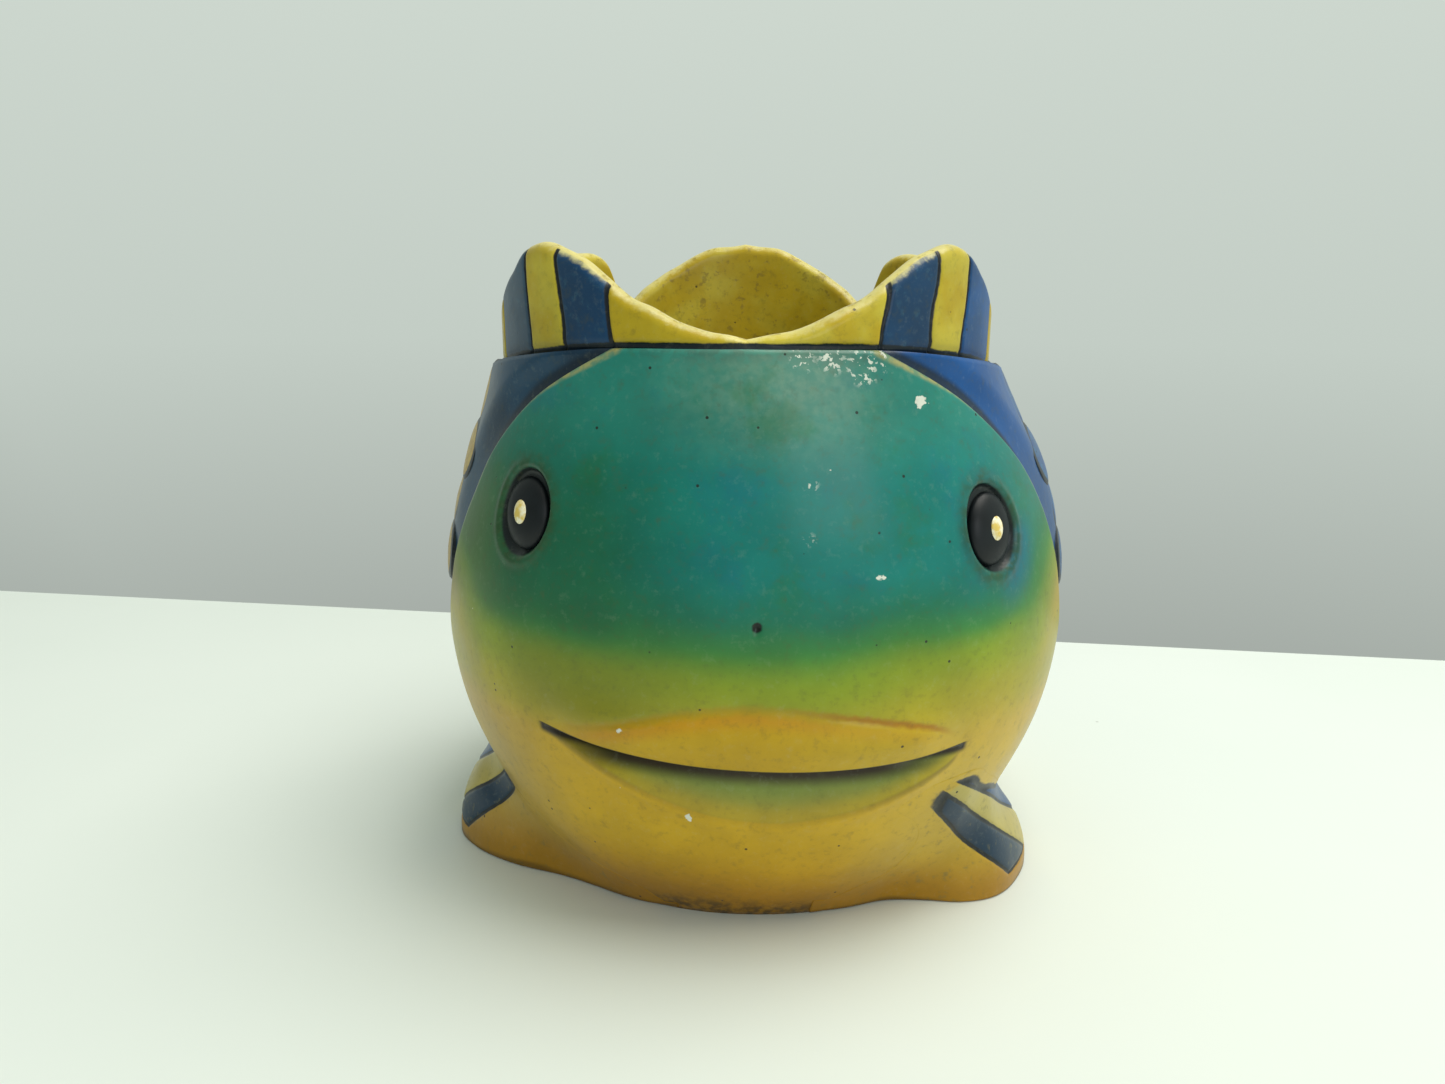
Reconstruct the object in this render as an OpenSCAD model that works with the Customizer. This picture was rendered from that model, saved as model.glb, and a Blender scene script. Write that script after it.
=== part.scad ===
// Fish-shaped bubbling ornament: an open-topped hollow fish, with an air stone that lifts out of its bowl.
// The fish looks along -Y, +Z is up, and the origin is on the table under the middle of the bowl.

/* [Body] */
// Greatest width across the cheeks
body_w = 115; // [105:1:120]
// From the middle of the bowl to the foremost point of the face
face_reach = 52.5; // [49:0.5:55]
// From the middle of the bowl to the back of the body
back_reach = 60; // [56:0.5:64]
// Height of the fin collar's seat at the forehead
seat_z = 98.5; // [94:0.5:102]
// Wall around the middle of the bowl, face casting included
bowl_wall = 9; // [8:0.5:11]
// Height of the bowl's floor
floor_z = 16; // [14:0.5:17]

/* [Face casting] */
// Thickness of the face casting
face_t = 4; // [3:0.5:5]
// How far the face casting's edge stands above the flank
face_step = 1.4; // [0.6:0.2:2]
// Height of the mouth line at the middle
mouth_z = 34; // [30:0.5:38]
// Depth of the mouth line
mouth_depth = 2.4; // [1:0.2:2.8]
// Angle from straight ahead to each end of the mouth
mouth_angle = 39; // [34:1:44]

/* [Eyes] */
// Angle from straight ahead to each eye
eye_angle = 43.5; // [38:0.5:48]
// Height of the eyes
eye_z = 71.5; // [66:0.5:76]
// Radius of an eye
eye_r = 6.2; // [5:0.2:7]
// Radius of a pupil bead
pupil_r = 1.8; // [1.2:0.1:2.4]

/* [Fin collar] */
// Outside radius of the collar
collar_r = 44.3; // [43:0.1:46]
// Wall of the collar
collar_wall = 4; // [3:0.5:5]
// Sideways set of the collar, which sits off the middle of the body
collar_shift = -2; // [-3:0.5:0]
// Height of the tallest lobe above the table
lobe_top = 115; // [110:0.5:118]

/* [Scales] */
// Radius of one scale
scale_r = 5; // [4:0.2:5.2]
// How far a scale stands out of the flank
scale_up = 1.3; // [0.8:0.1:2]

/* [Air line] */
// Height of the air inlet
inlet_z = 25; // [24:0.5:27]
// Outside radius of the nipple that a 4 mm airline pushes onto
nipple_r = 2.4; // [2:0.1:2.6]
// Length of the nipple
nipple_len = 11; // [8:1:14]
// Radius of the inlet's shank
shank_r = 4; // [3.5:0.1:4.5]
// Radius of the air passage
air_r = 1.2; // [0.8:0.1:1.4]
// Width across the flats of the nut
nut_af = 14; // [12:0.5:15]

/* [Air stone] */
// Radius of the air stone
stone_r = 9; // [7:0.5:10]
// Length of the air stone
stone_h = 28; // [20:1:32]
// Radius of the stone's stem
stem_r = 2.95; // [2.9:0.01:2.97]

/* [Hidden] */

blue = "#1d5a96";
teal = "#1f7f78";
yellow = "#cdb93c";
ink = "#10202c";
cream = "#f3e6b0";
gold = "#b9963c";

// Each profile is a list of [share of seat_z, share of the driving size], joined by smooth curves.
side_profile = [[0, 0.63], [0.1, 0.765], [0.2, 0.87], [0.33, 0.96], [0.47, 1], [0.6, 0.99],
                [0.7, 0.955], [0.8, 0.895], [0.9, 0.823], [1, 0.775]];
face_profile = [[0, 0.695], [0.12, 0.82], [0.25, 0.91], [0.35, 0.967], [0.46, 0.997], [0.58, 1],
                [0.7, 0.977], [0.82, 0.933], [0.92, 0.888], [1, 0.85]];
back_profile = [[0, 0.7], [0.12, 0.84], [0.3, 0.96], [0.48, 1], [0.7, 0.95], [0.85, 0.85], [1, 0.745]];
// Where the gill edge of the face casting runs: [height, angle from straight ahead].
gill_line = [[0, 92], [12, 90], [25, 86], [38, 79], [50, 72.5], [62, 68], [72, 63.5], [82, 57.5], [91, 45.5],
             [98.5, 27]];
// Height of the collar's seat round the body: [angle from straight ahead, share of seat_z].
seat_line = [[0, 1], [30, 0.995], [55, 0.972], [80, 0.943], [120, 0.94], [180, 0.945]];
// Top of the collar: [angle from straight ahead, share of the way from the front dip to the tallest lobe].
lobe_line = [[0, 0], [12, 0.13], [20, 0.31], [26, 0.445], [35, 0.75], [42, 0.88], [49, 0.95], [55, 0.88],
             [62, 0.68], [78, 0.28], [92, 0.2], [106, 0.42], [118, 0.76], [127, 0.86], [135, 0.76],
             [139, 0.4], [143, 0.16], [150, 0.4], [158, 0.64], [168, 0.9], [180, 1]];
// The bowl's wall draws in to its floor: [height above the floor, share of the full radius].
bowl_line = [[0, 0.62], [2, 0.74], [6, 0.86], [14, 0.95], [24, 1]];

dip_z = seat_z + 1.6;
squareness = 2.2;
sunk = 12;
front_cols = 20;
back_cols = 30;
glue = 0.15;
table_gap = 0.2;
fit = 0.05;

// A smooth curve through the points p, at t.
function knot_slope(p, k) =
    let (a = max(k - 1, 0), b = min(k + 1, len(p) - 1)) (p[b][1] - p[a][1]) / (p[b][0] - p[a][0]);
function curve(p, t, k = 0) =
    k < len(p) - 2 && t >= p[k + 1][0] ? curve(p, t, k + 1)
    : let (h = p[k + 1][0] - p[k][0],
           u = min(max((t - p[k][0]) / h, 0), 1))
      (2 * u^3 - 3 * u^2 + 1) * p[k][1] + (u^3 - 2 * u^2 + u) * h * knot_slope(p, k)
      + (3 * u^2 - 2 * u^3) * p[k + 1][1] + (u^3 - u^2) * h * knot_slope(p, k + 1);
function ease(t) = let (u = min(max(t, 0), 1)) u * u * (3 - 2 * u);
function bell(t) = exp(-t * t);

// Angles run from straight ahead, positive to +X.
function turn(a) = let (b = abs(a) % 360) b > 180 ? 360 - b : b;
function seat(a) = seat_z * curve(seat_line, turn(a));
function drift(z) = collar_shift * ease((z - 0.72 * seat_z) / (0.28 * seat_z));
function skin(a, z) =
    let (t = z / seat_z,
         w = body_w / 2 * curve(side_profile, t),
         d = cos(a) >= 0 ? face_reach * curve(face_profile, t) : back_reach * curve(back_profile, t))
    pow(pow(abs(sin(a)) / w, squareness) + pow(abs(cos(a)) / d, squareness), -1 / squareness);
function place(a, r, z) = [r * sin(a) + drift(z), -r * cos(a), z];

// The mouth is a curved groove under a full upper lip.
function mouth_line(a) =
    let (u = min(max(a / mouth_angle, -1), 1)) mouth_z + 3 * u * u - 1.4 * u;
function mouth_fade(a) = ease((mouth_angle - abs(a)) / 9);
function mouth(a, z) =
    let (up = z - mouth_line(a))
    mouth_fade(a) * (1.1 * bell((up - 5) / 3.4) - mouth_depth * bell(up / 1.5));

function face_depth(z) = min(face_t, 1.8 + (face_t - 1.8) * (seat_z - z) / sunk);
function face_out(a, z) = skin(a, z) + mouth(a, z);
function face_in(a, z) = skin(a, z) - face_depth(z);
function flank(a, z, edge) = skin(a, z) - face_step * (1 - ease((turn(a) - edge) / 14));
function bowl_full(a, z) = skin(a, z) - collar_wall - (bowl_wall - collar_wall) * ease((seat_z - z) / 26);
function bowl_in(a, z) = bowl_full(a, z) * curve(bowl_line, z - floor_z);

// Heights of the rows of facets, closest together about the mouth.
rows = concat([for (i = [0:6]) 25 * i / 6], [for (i = [1:11]) 25 + 18 * i / 11],
              [for (i = [1:13]) 43 + (seat_z - 43) * (1 - pow(1 - i / 13, 1.3))]);
bowl_rows = [for (i = [15:-1:0]) floor_z + (seat_z - floor_z) * pow(i / 15, 1.5)];
function row_z(a, h) =
    let (b = turn(a) * (a > 180 ? -1 : sign(a)), fade = 1 - ease((turn(a) - mouth_angle) / 30))
    h * seat(a) / seat_z + (mouth_line(b) - mouth_z) * bell((h - mouth_z) / 9) * fade;
function gill(h) = curve(gill_line, h * 98.5 / seat_z);

function face_loop(h, inner) =
    [for (k = [-front_cols:front_cols])
        let (a = gill(h) * k / front_cols, z = row_z(a, h))
        place(a, inner ? face_in(a, z) : face_out(a, z), z)];
function flank_loop(h) =
    [for (k = [0:back_cols])
        let (a = gill(h) + (360 - 2 * gill(h)) * k / back_cols, z = row_z(a, h))
        place(a, flank(a, z, gill(h)), z)];
function bowl_loop(h) =
    [for (k = [0:2 * front_cols + back_cols + 1])
        let (g = gill(seat_z) + (65 - gill(seat_z)) * ease((seat_z - h) / 30),
             a = k <= 2 * front_cols ? 0.98 * g * (k / front_cols - 1)
                 : g + (360 - 2 * g) * (k - 2 * front_cols - 1) / back_cols,
             z = floor_z + (h - floor_z) * (seat(a) - floor_z) / (seat_z - floor_z))
        place(a, bowl_in(a, z), z)];

// A closed skin over a stack of loops that have the same number of points.
function reversed(p) = [for (i = [len(p) - 1:-1:0]) p[i]];
function stack_faces(n, loops) =
    [for (j = [0:loops - 2], k = [0:n - 1], half = [0, 1])
        let (a = j * n + k, b = j * n + (k + 1) % n)
        half == 0 ? [a, b + n, b] : [a, a + n, b + n]];
function fan_faces(n, first, tip, up) =
    [for (k = [0:n - 1]) up ? [first + k, tip, first + (k + 1) % n] : [first + (k + 1) % n, tip, first + k]];
module stack(loops, low_tip, high_tip) {
    n = len(loops[0]);
    count = len(loops);
    polyhedron(points = concat([for (loop = loops) each loop], [low_tip, high_tip]),
               faces = concat(stack_faces(n, count), fan_faces(n, 0, n * count, false),
                              fan_faces(n, n * (count - 1), n * count + 1, true)));
}

// The whole outside of the fish, solid and carried on below the table. It trims the fins and scales.
module fish_blank() {
    outside = [for (h = rows) concat(face_loop(h, false), flank_loop(h))];
    foot = [for (p = outside[0]) p - [0, 0, 1]];
    stack(concat([foot], outside), [0, 0, -1], [collar_shift, 0, seat_z]);
}

// Moves and turns its children so that their +Z stands out of the skin.
function skin_point(a, z) = place(a, skin(a, z), z);
function skin_normal(a, z) =
    let (across = skin_point(a + 0.5, z) - skin_point(a - 0.5, z),
         up = skin_point(a, z + 0.5) - skin_point(a, z - 0.5),
         n = cross(across, up))
    n / norm(n);
module on_skin(a, z) {
    n = skin_normal(a, z);
    translate(skin_point(a, z)) rotate([0, acos(n.z), atan2(n.y, n.x)]) children();
}

// Steps of the air line, from the outside in along -Y.
wall_out = back_reach * curve(back_profile, inlet_z / seat_z) + 0.5;
wall_in = 41;
flange_t = 2.4;
gasket_t = 1.2;
flange_r = 7;
nut_t = 4;
arm_r = 4.6;
spare_thread = 4;
arm_end = wall_in - nut_t - spare_thread;
socket_top = inlet_z + 10;
rest_gap = 0.3;
collar_t = 2.5;
stone_z = socket_top + rest_gap + collar_t;
stem_len = 9;

// Places its children on the inlet's axis, facing backward from y.
module inlet_axis(y) {
    translate([0, y, inlet_z]) rotate([-90, 0, 0]) children();
}

module body_casting() {
    spot_r = nut_af / 2 / cos(30) + 0.9;
    color(blue)
    difference() {
        union() {
            stack(concat([for (h = rows) concat(face_loop(h, true), flank_loop(h))],
                         [for (h = bowl_rows) bowl_loop(h)]),
                  [0, 0, 0], [0, 0, floor_z]);
            inlet_axis(wall_in) cylinder(r = spot_r, h = wall_out - wall_in, $fn = 64);
        }
        // flat seats for the gasket outside and the nut inside
        inlet_axis(wall_out) cylinder(r = flange_r + 0.6, h = 6, $fn = 64);
        inlet_axis(wall_in - 12) cylinder(r = spot_r, h = 12, $fn = 64);
        inlet_axis(wall_in - 1) cylinder(r = shank_r + fit, h = wall_out - wall_in + 2, $fn = 64);
    }
}

module face_casting() {
    color(teal)
    difference() {
        n = 2 * front_cols + 1;
        count = len(rows);
        loop_points = [for (h = rows) each concat(face_loop(h, false), reversed(face_loop(h, true)))];
        polyhedron(points = loop_points,
                   faces = concat(stack_faces(2 * n, count),
                                  [for (k = [0:n - 2], half = [0, 1])
                                      half == 0 ? [k, k + 1, 2 * n - 2 - k]
                                      : [k, 2 * n - 2 - k, 2 * n - 1 - k]],
                                  [for (k = [0:n - 2], half = [0, 1])
                                      let (o = 2 * n * (count - 1))
                                      half == 0 ? [o + k, o + 2 * n - 2 - k, o + k + 1]
                                      : [o + k, o + 2 * n - 1 - k, o + 2 * n - 2 - k]]));
        for (side = [-1, 1]) eye_seat(side) translate([0, 0, -1.5]) cylinder(r = eye_r, h = 6, $fn = 64);
    }
}

// The left eye is set a little higher than the right one.
module eye_seat(side) {
    on_skin(side * eye_angle, eye_z - side * 0.9) children();
}

module eye(side) {
    dome_r = (eye_r * eye_r + 1) / 2;
    color(ink) eye_seat(side) rotate_extrude($fn = 64) difference() {
        intersection() {
            translate([0, -1.5]) square([eye_r, 3]);
            translate([0, 1 - dome_r]) circle(r = dome_r, $fn = 128);
        }
        translate([0, 0.7]) square([pupil_r, 1]);
    }
}

module pupil(side) {
    color(cream) eye_seat(side) rotate_extrude($fn = 48) intersection() {
        translate([0, 0.7]) square([pupil_r, 2]);
        translate([0, 1.5 - pupil_r]) circle(r = pupil_r + 0.2, $fn = 64);
    }
}

// The collar is a wavy standing fin, with its lip rounded over.
function lobe_z(a) = dip_z + (lobe_top - dip_z) * curve(lobe_line, turn(a));
function collar_section(a) =
    let (foot = seat(a) + glue, top = lobe_z(a), inside = collar_r - collar_wall,
         round_off = min(1.5, (top - foot) * 0.45))
    [for (p = [[inside, foot], [collar_r, foot], [collar_r, (foot + top) / 2], [collar_r, top - round_off],
               [collar_r - 0.6, top - 0.3 * round_off], [collar_r - collar_wall / 2, top],
               [inside + 0.6, top - 0.3 * round_off], [inside, top - round_off]])
        [p[0] * sin(a) + collar_shift, -p[0] * cos(a), p[1]]];

module fin_collar() {
    turns = 120;
    sections = [for (i = [0:turns - 1]) collar_section(360 * i / turns)];
    n = len(sections[0]);
    color(yellow)
    polyhedron(points = [for (s = sections) each s],
               faces = [for (i = [0:turns - 1], k = [0:n - 1], half = [0, 1])
                           let (a = i * n + k, b = i * n + (k + 1) % n,
                                c = ((i + 1) % turns) * n + k, d = ((i + 1) % turns) * n + (k + 1) % n)
                           half == 0 ? [a, b, d] : [a, d, c]]);
}

// A fleshy fin: two lines of balls, low and high, skinned over step by step. Each point is [x, y, z, radius].
function along(p, u) =
    let (f = u * (len(p) - 1), i = min(floor(f), len(p) - 2)) p[i] + (p[i + 1] - p[i]) * (f - i);
module swept(low, high, steps) {
    for (i = [0:steps - 1])
        hull() for (u = [i / steps, (i + 1) / steps], line = [low, high]) {
            p = along(line, u);
            translate([p[0], p[1], p[2]]) sphere(r = p[3], $fn = 24);
        }
}
module trimmed_fin() {
    difference() {
        children();
        translate([-100, -100, -50]) cube([200, 200, 50 + table_gap]);
        fish_blank();
    }
}

module pectoral_fin_left() {
    color(yellow) trimmed_fin()
        swept([[-34, -16, 3, 9], [-44, -13, 4, 9], [-51, -9, 5, 7]],
              [[-40, -6, 14, 8], [-47, -5, 11.5, 7], [-52, -6, 8, 6.5]], 8);
}

module pectoral_fin_right() {
    color(yellow) trimmed_fin()
        swept([[27, -21, 2, 9], [37, -20, 3, 10.5], [44, -17, 4, 9.5]],
              [[36, -7, 11, 8], [43, -9, 9, 7.5], [46, -12, 6, 8.5]], 8);
}

// The tail stands up behind the body on a short stalk and spreads into two lobes.
module tail_fin() {
    color(yellow) trimmed_fin() {
        swept([[0, 50, 51, 8], [0, 62, 52, 6], [0, 69, 51, 5]],
              [[0, 50, 63, 8], [0, 62, 60, 6], [0, 69, 61, 5]], 4);
        swept([[0, 67, 56, 5], [0, 75, 64, 4.5], [0, 81, 77, 3.6]],
              [[0, 67, 62, 5], [0, 74, 76, 4.5], [0, 80, 88, 3.4]], 4);
        swept([[0, 67, 50, 5], [0, 73, 43, 4.5], [0, 78, 35, 3.4]],
              [[0, 67, 57, 5], [0, 75, 52, 4.5], [0, 80, 44, 3.6]], 4);
    }
}

// Rows of raised scales that follow the gill edge, each row set half a scale from the last.
module scales(side) {
    lowest_row = 40;
    from_gill = 12;
    foremost = 78;
    pitch_a = 11;
    pitch_z = 9.5;
    color(gold) difference() {
        for (row = [0:5], i = [0:4]) {
            z = lowest_row + pitch_z * row;
            a = max(foremost, gill(z) + from_gill) + pitch_a * (i + (row % 2) / 2);
            on_skin(side * a, z) hull() {
                translate([0, 0, -1.5]) cylinder(r = scale_r, h = 1.6, $fn = 12);
                cylinder(r = scale_r * 0.55, h = scale_up, $fn = 12);
            }
        }
        fish_blank();
    }
}

// The inlet's shank goes through the wall from behind, and its flange squeezes the gasket.
module air_inlet() {
    shank_len = wall_out + gasket_t - arm_end;
    color("#303438") inlet_axis(wall_out + gasket_t) difference() {
        union() {
            cylinder(r = flange_r, h = flange_t, $fn = 64);
            translate([0, 0, flange_t]) cylinder(r = nipple_r, h = nipple_len, $fn = 48);
            translate([0, 0, -shank_len]) cylinder(r = shank_r, h = shank_len, $fn = 64);
        }
        translate([0, 0, -40]) cylinder(r = air_r, h = 40 + flange_t + nipple_len + 1, $fn = 32);
    }
}

module inlet_gasket() {
    color("#1c1c1c") inlet_axis(wall_out) difference() {
        cylinder(r = flange_r, h = gasket_t, $fn = 64);
        translate([0, 0, -1]) cylinder(r = shank_r, h = gasket_t + 2, $fn = 64);
    }
}

module inlet_nut() {
    color("#303438") inlet_axis(wall_in - nut_t) difference() {
        cylinder(r = nut_af / 2 / cos(30), h = nut_t, $fn = 6);
        translate([0, 0, -1]) cylinder(r = shank_r, h = nut_t + 2, $fn = 64);
    }
}

// A moulded elbow carries the air from the shank's end to the upright socket in the middle of the bowl.
module air_elbow() {
    color("#3c4044") difference() {
        union() {
            inlet_axis(0) cylinder(r = arm_r, h = arm_end, $fn = 64);
            translate([0, 0, inlet_z - 5]) cylinder(r = 5.5, h = socket_top - inlet_z + 5, $fn = 64);
        }
        inlet_axis(0) cylinder(r = air_r, h = arm_end + 1, $fn = 32);
        translate([0, 0, inlet_z]) cylinder(r = air_r, h = 20, $fn = 32);
        translate([0, 0, socket_top - stem_len - 1]) cylinder(r = stem_r + fit, h = stem_len + 2, $fn = 64);
    }
}

module elbow_foot() {
    color("#1c1c1c") translate([0, 0, floor_z]) difference() {
        cylinder(r = 8, h = inlet_z - 5 - floor_z, $fn = 64);
        translate([0, 0, -1]) cylinder(r = 3, h = 20, $fn = 48);
    }
}

// The stem pushes into the socket, and the stone is bonded onto its upper end.
module stone_stem() {
    color("#e8e8e4") difference() {
        union() {
            translate([0, 0, socket_top + rest_gap - stem_len]) cylinder(r = stem_r, h = stem_len, $fn = 64);
            translate([0, 0, socket_top + rest_gap]) cylinder(r = 5, h = collar_t, $fn = 64);
            translate([0, 0, stone_z]) cylinder(r = stem_r, h = 8, $fn = 64);
        }
        translate([0, 0, socket_top - stem_len - 1]) cylinder(r = air_r, h = stem_len + collar_t + 12, $fn = 32);
    }
}

module air_stone() {
    bevel = 1.5;
    color("#5a7fb0") difference() {
        translate([0, 0, stone_z]) rotate_extrude($fn = 96)
            polygon([[0, 0], [stone_r - bevel, 0], [stone_r, bevel], [stone_r, stone_h - bevel],
                     [stone_r - bevel, stone_h], [0, stone_h]]);
        translate([0, 0, stone_z - 1]) cylinder(r = stem_r, h = 9, $fn = 64);
    }
}

body_casting();
face_casting();
fin_collar();
pectoral_fin_left();
pectoral_fin_right();
tail_fin();
eye(-1);  // eye_left
eye(1);  // eye_right
pupil(-1);  // pupil_left
pupil(1);  // pupil_right
scales(-1);  // scales_left
scales(1);  // scales_right
air_inlet();
inlet_gasket();
inlet_nut();
air_elbow();
elbow_foot();
stone_stem();
air_stone();
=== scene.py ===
import math

import bmesh
import bpy
import numpy as np
from mathutils import Matrix, Vector, noise


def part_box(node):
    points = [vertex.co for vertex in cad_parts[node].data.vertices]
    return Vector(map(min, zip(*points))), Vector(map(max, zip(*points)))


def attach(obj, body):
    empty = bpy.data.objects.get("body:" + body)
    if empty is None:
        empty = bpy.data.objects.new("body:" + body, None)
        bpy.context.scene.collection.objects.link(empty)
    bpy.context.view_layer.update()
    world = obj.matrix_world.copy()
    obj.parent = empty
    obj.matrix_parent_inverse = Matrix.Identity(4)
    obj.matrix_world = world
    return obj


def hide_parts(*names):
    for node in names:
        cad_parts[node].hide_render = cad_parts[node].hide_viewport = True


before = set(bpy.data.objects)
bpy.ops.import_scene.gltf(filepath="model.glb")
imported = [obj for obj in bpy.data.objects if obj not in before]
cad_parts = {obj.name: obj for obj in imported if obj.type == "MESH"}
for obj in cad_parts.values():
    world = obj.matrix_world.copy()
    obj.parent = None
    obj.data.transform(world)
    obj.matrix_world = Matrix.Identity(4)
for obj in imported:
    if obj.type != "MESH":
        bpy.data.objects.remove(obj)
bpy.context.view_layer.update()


# ---------------------------------------------------------------------------------------------------------
# Studio: a painted board as the table, a pale grey-green surround, one large soft light overhead and a
# little to the right, and a weak one in front. The camera looks slightly down at the fish's face from
# close by.

MM = 0.001


def paint(hex_colour):
    """An sRGB hex colour as linear RGBA."""
    parts = [int(hex_colour[i : i + 2], 16) / 255 for i in (1, 3, 5)]
    return [p / 12.92 if p <= 0.04045 else ((p + 0.055) / 1.055) ** 2.4 for p in parts] + [1.0]


def add(tree, kind, links=None, **settings):
    """Adds a node. settings are its properties; links holds a socket or a value for each input."""
    n = tree.nodes.new("ShaderNode" + kind)
    for name, value in settings.items():
        setattr(n, name, value)
    for name, value in (links or {}).items():
        if isinstance(value, bpy.types.NodeSocket):
            tree.links.new(value, n.inputs[name])
        else:
            n.inputs[name].default_value = value
    return n


def new_material(name):
    m = bpy.data.materials.new(name)
    m.use_nodes = True
    m.node_tree.nodes.clear()
    return m


board_half, board_front, board_thick = 600, -500, 12
board_back = {"left": 194, "right": 53}
board = bpy.data.meshes.new("table_board")
edge = [(-board_half, board_front), (board_half, board_front), (board_half, board_back["right"]),
        (-board_half, board_back["left"])]
board.from_pydata([(x * MM, y * MM, z * MM) for z in (0, -board_thick) for x, y in edge], [],
                  [(0, 1, 2, 3), (7, 6, 5, 4), (0, 4, 5, 1), (1, 5, 6, 2), (2, 6, 7, 3), (3, 7, 4, 0)])
table_top = bpy.data.objects.new("table_top", board)
bpy.context.collection.objects.link(table_top)

# White gloss paint on board, sponged clean: nearly even, with faint grey clouds and a few specks of dust.
white_board = new_material("white_painted_board")
t = white_board.node_tree
spot = add(t, "TexCoord").outputs["Object"]
clouds = add(t, "TexNoise", {"Vector": spot, "Scale": 9.0, "Detail": 4.0}).outputs["Fac"]
tone = add(t, "Mix", {0: clouds, 6: paint("#e0e8e2"), 7: paint("#e8eee9")}, data_type="RGBA").outputs[2]
crumb = add(t, "TexVoronoi", {"Vector": spot, "Scale": 22.0}).outputs["Distance"]
crumb = add(t, "MapRange", {0: crumb, 1: 0.012, 2: 0.02, 3: 1.0, 4: 0.0}).outputs[0]
tone = add(t, "Mix", {0: crumb, 6: tone, 7: paint("#5a5348")}, data_type="RGBA").outputs[2]
board_paint = add(t, "BsdfPrincipled", {"Base Color": tone, "Roughness": 0.5, "Specular IOR Level": 0.25})
add(t, "OutputMaterial", {"Surface": board_paint.outputs[0]})
table_top.data.materials.append(white_board)

surround = bpy.data.worlds.new("surround")
bpy.context.scene.world = surround
surround.use_nodes = True
t = surround.node_tree
t.nodes.clear()
up = add(t, "SeparateXYZ", {0: add(t, "TexCoord").outputs["Generated"]}).outputs["Z"]
height = add(t, "MapRange", {0: up, 1: -0.32, 2: 0.25}).outputs[0]
haze = add(t, "ValToRGB", {0: height})
haze.color_ramp.elements[0].color = paint("#a3aaa4")
haze.color_ramp.elements[1].color = paint("#cfd9d0")
haze.color_ramp.elements.new(0.45).color = paint("#c3cdc5")
# the room behind the camera and to the left is darker than the wall
ahead = add(t, "VectorMath", {0: add(t, "TexCoord").outputs["Generated"], 1: (0.55, 0.75, 0.25)},
            operation="DOT_PRODUCT").outputs["Value"]
ahead = add(t, "MapRange", {0: ahead, 1: -0.4, 2: 0.3, 3: 0.5, 4: 1.0}).outputs[0]
glow = add(t, "Background", {"Color": haze.outputs[0], "Strength": ahead})
add(t, "OutputWorld", {"Surface": glow.outputs[0]})


def soft_light(name, place, aim, size, power, colour):
    lamp = bpy.data.lights.new(name, "AREA")
    lamp.shape = "RECTANGLE"
    lamp.size, lamp.size_y = size
    lamp.energy = power
    lamp.color = paint(colour)[:3]
    o = bpy.data.objects.new(name, lamp)
    o.location = place
    o.rotation_euler = (Vector(aim) - Vector(place)).to_track_quat("-Z", "Y").to_euler()
    bpy.context.collection.objects.link(o)


soft_light("window_light", (0.26, -0.02, 0.78), (0, 0, 0.05), (0.6, 0.5), 4.9, "#fffaf2")
soft_light("front_light", (0.3, -0.7, 0.3), (0, 0, 0.05), (0.4, 0.3), 1.0, "#f6f8ff")

cam_place = Vector((-3, -212, 111)) * MM
cam_down, cam_turn, cam_roll = math.radians(14), math.radians(-0.8), math.radians(0.4)
look = Vector((math.sin(cam_turn) * math.cos(cam_down), math.cos(cam_turn) * math.cos(cam_down),
               -math.sin(cam_down)))
level = look.cross(Vector((0, 0, 1))).normalized()
raised = level.cross(look)
across = level * math.cos(cam_roll) + raised * math.sin(cam_roll)
upward = across.cross(look)
cam_data = bpy.data.cameras.new("camera")
cam_data.lens = 28
cam_data.sensor_width = 36
cam_data.clip_start = 0.01
camera = bpy.data.objects.new("camera", cam_data)
camera.matrix_world = Matrix.Translation(cam_place) @ Matrix((across, upward, -look)).transposed().to_4x4()
bpy.context.collection.objects.link(camera)
bpy.context.scene.camera = camera
bpy.context.scene.view_settings.view_transform = "Standard"


# ---------------------------------------------------------------------------------------------------------
# Face casting: a cold-cast resin mask, 4 mm thick, bonded over the front of the body. Airbrushed from teal
# down to yellow, hand-painted at the mouth, and varnished. Its rolled edge stands proud of the flank.

body_w, face_reach, back_reach = 115.0, 52.5, 60.0
seat_z = 98.5
squareness = 2.2
face_t, face_step, edge_roll = 4.0, 1.4, 1.5
mouth_z, mouth_angle, mouth_step, lip_swell = 34.0, 39.0, 3.4, 1.3
eye_places = {-1: (-43.5, 72.4), 1: (43.5, 70.6)}
eye_wide, eye_tall, eye_lean = 5.2, 6.5, 9

side_profile = [(0, 0.63), (0.1, 0.765), (0.2, 0.87), (0.33, 0.96), (0.47, 1), (0.6, 0.99), (0.7, 0.955),
                (0.8, 0.895), (0.9, 0.823), (1, 0.775)]
face_profile = [(0, 0.695), (0.12, 0.82), (0.25, 0.91), (0.35, 0.967), (0.46, 0.997), (0.58, 1), (0.7, 0.977),
                (0.82, 0.933), (0.92, 0.888), (1, 0.85)]
back_profile = [(0, 0.7), (0.12, 0.84), (0.3, 0.96), (0.48, 1), (0.7, 0.95), (0.85, 0.85), (1, 0.745)]
gill_line = [(0, 92), (12, 90), (25, 86), (38, 79), (50, 72.5), (62, 68), (72, 63.5), (82, 57.5), (91, 45.5),
             (98.5, 27)]
seat_line = [(0, 1), (30, 0.995), (55, 0.972), (80, 0.943), (120, 0.94), (180, 0.945)]
jaw_line = [(-38, 37.9), (-31, 34), (-24, 30.4), (-17, 27.4), (-9, 24.9), (-2, 23.8), (6, 23.4), (14, 24.3),
            (21, 25.7), (28.5, 28.3), (36, 31.8), (39.5, 35)]
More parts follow.
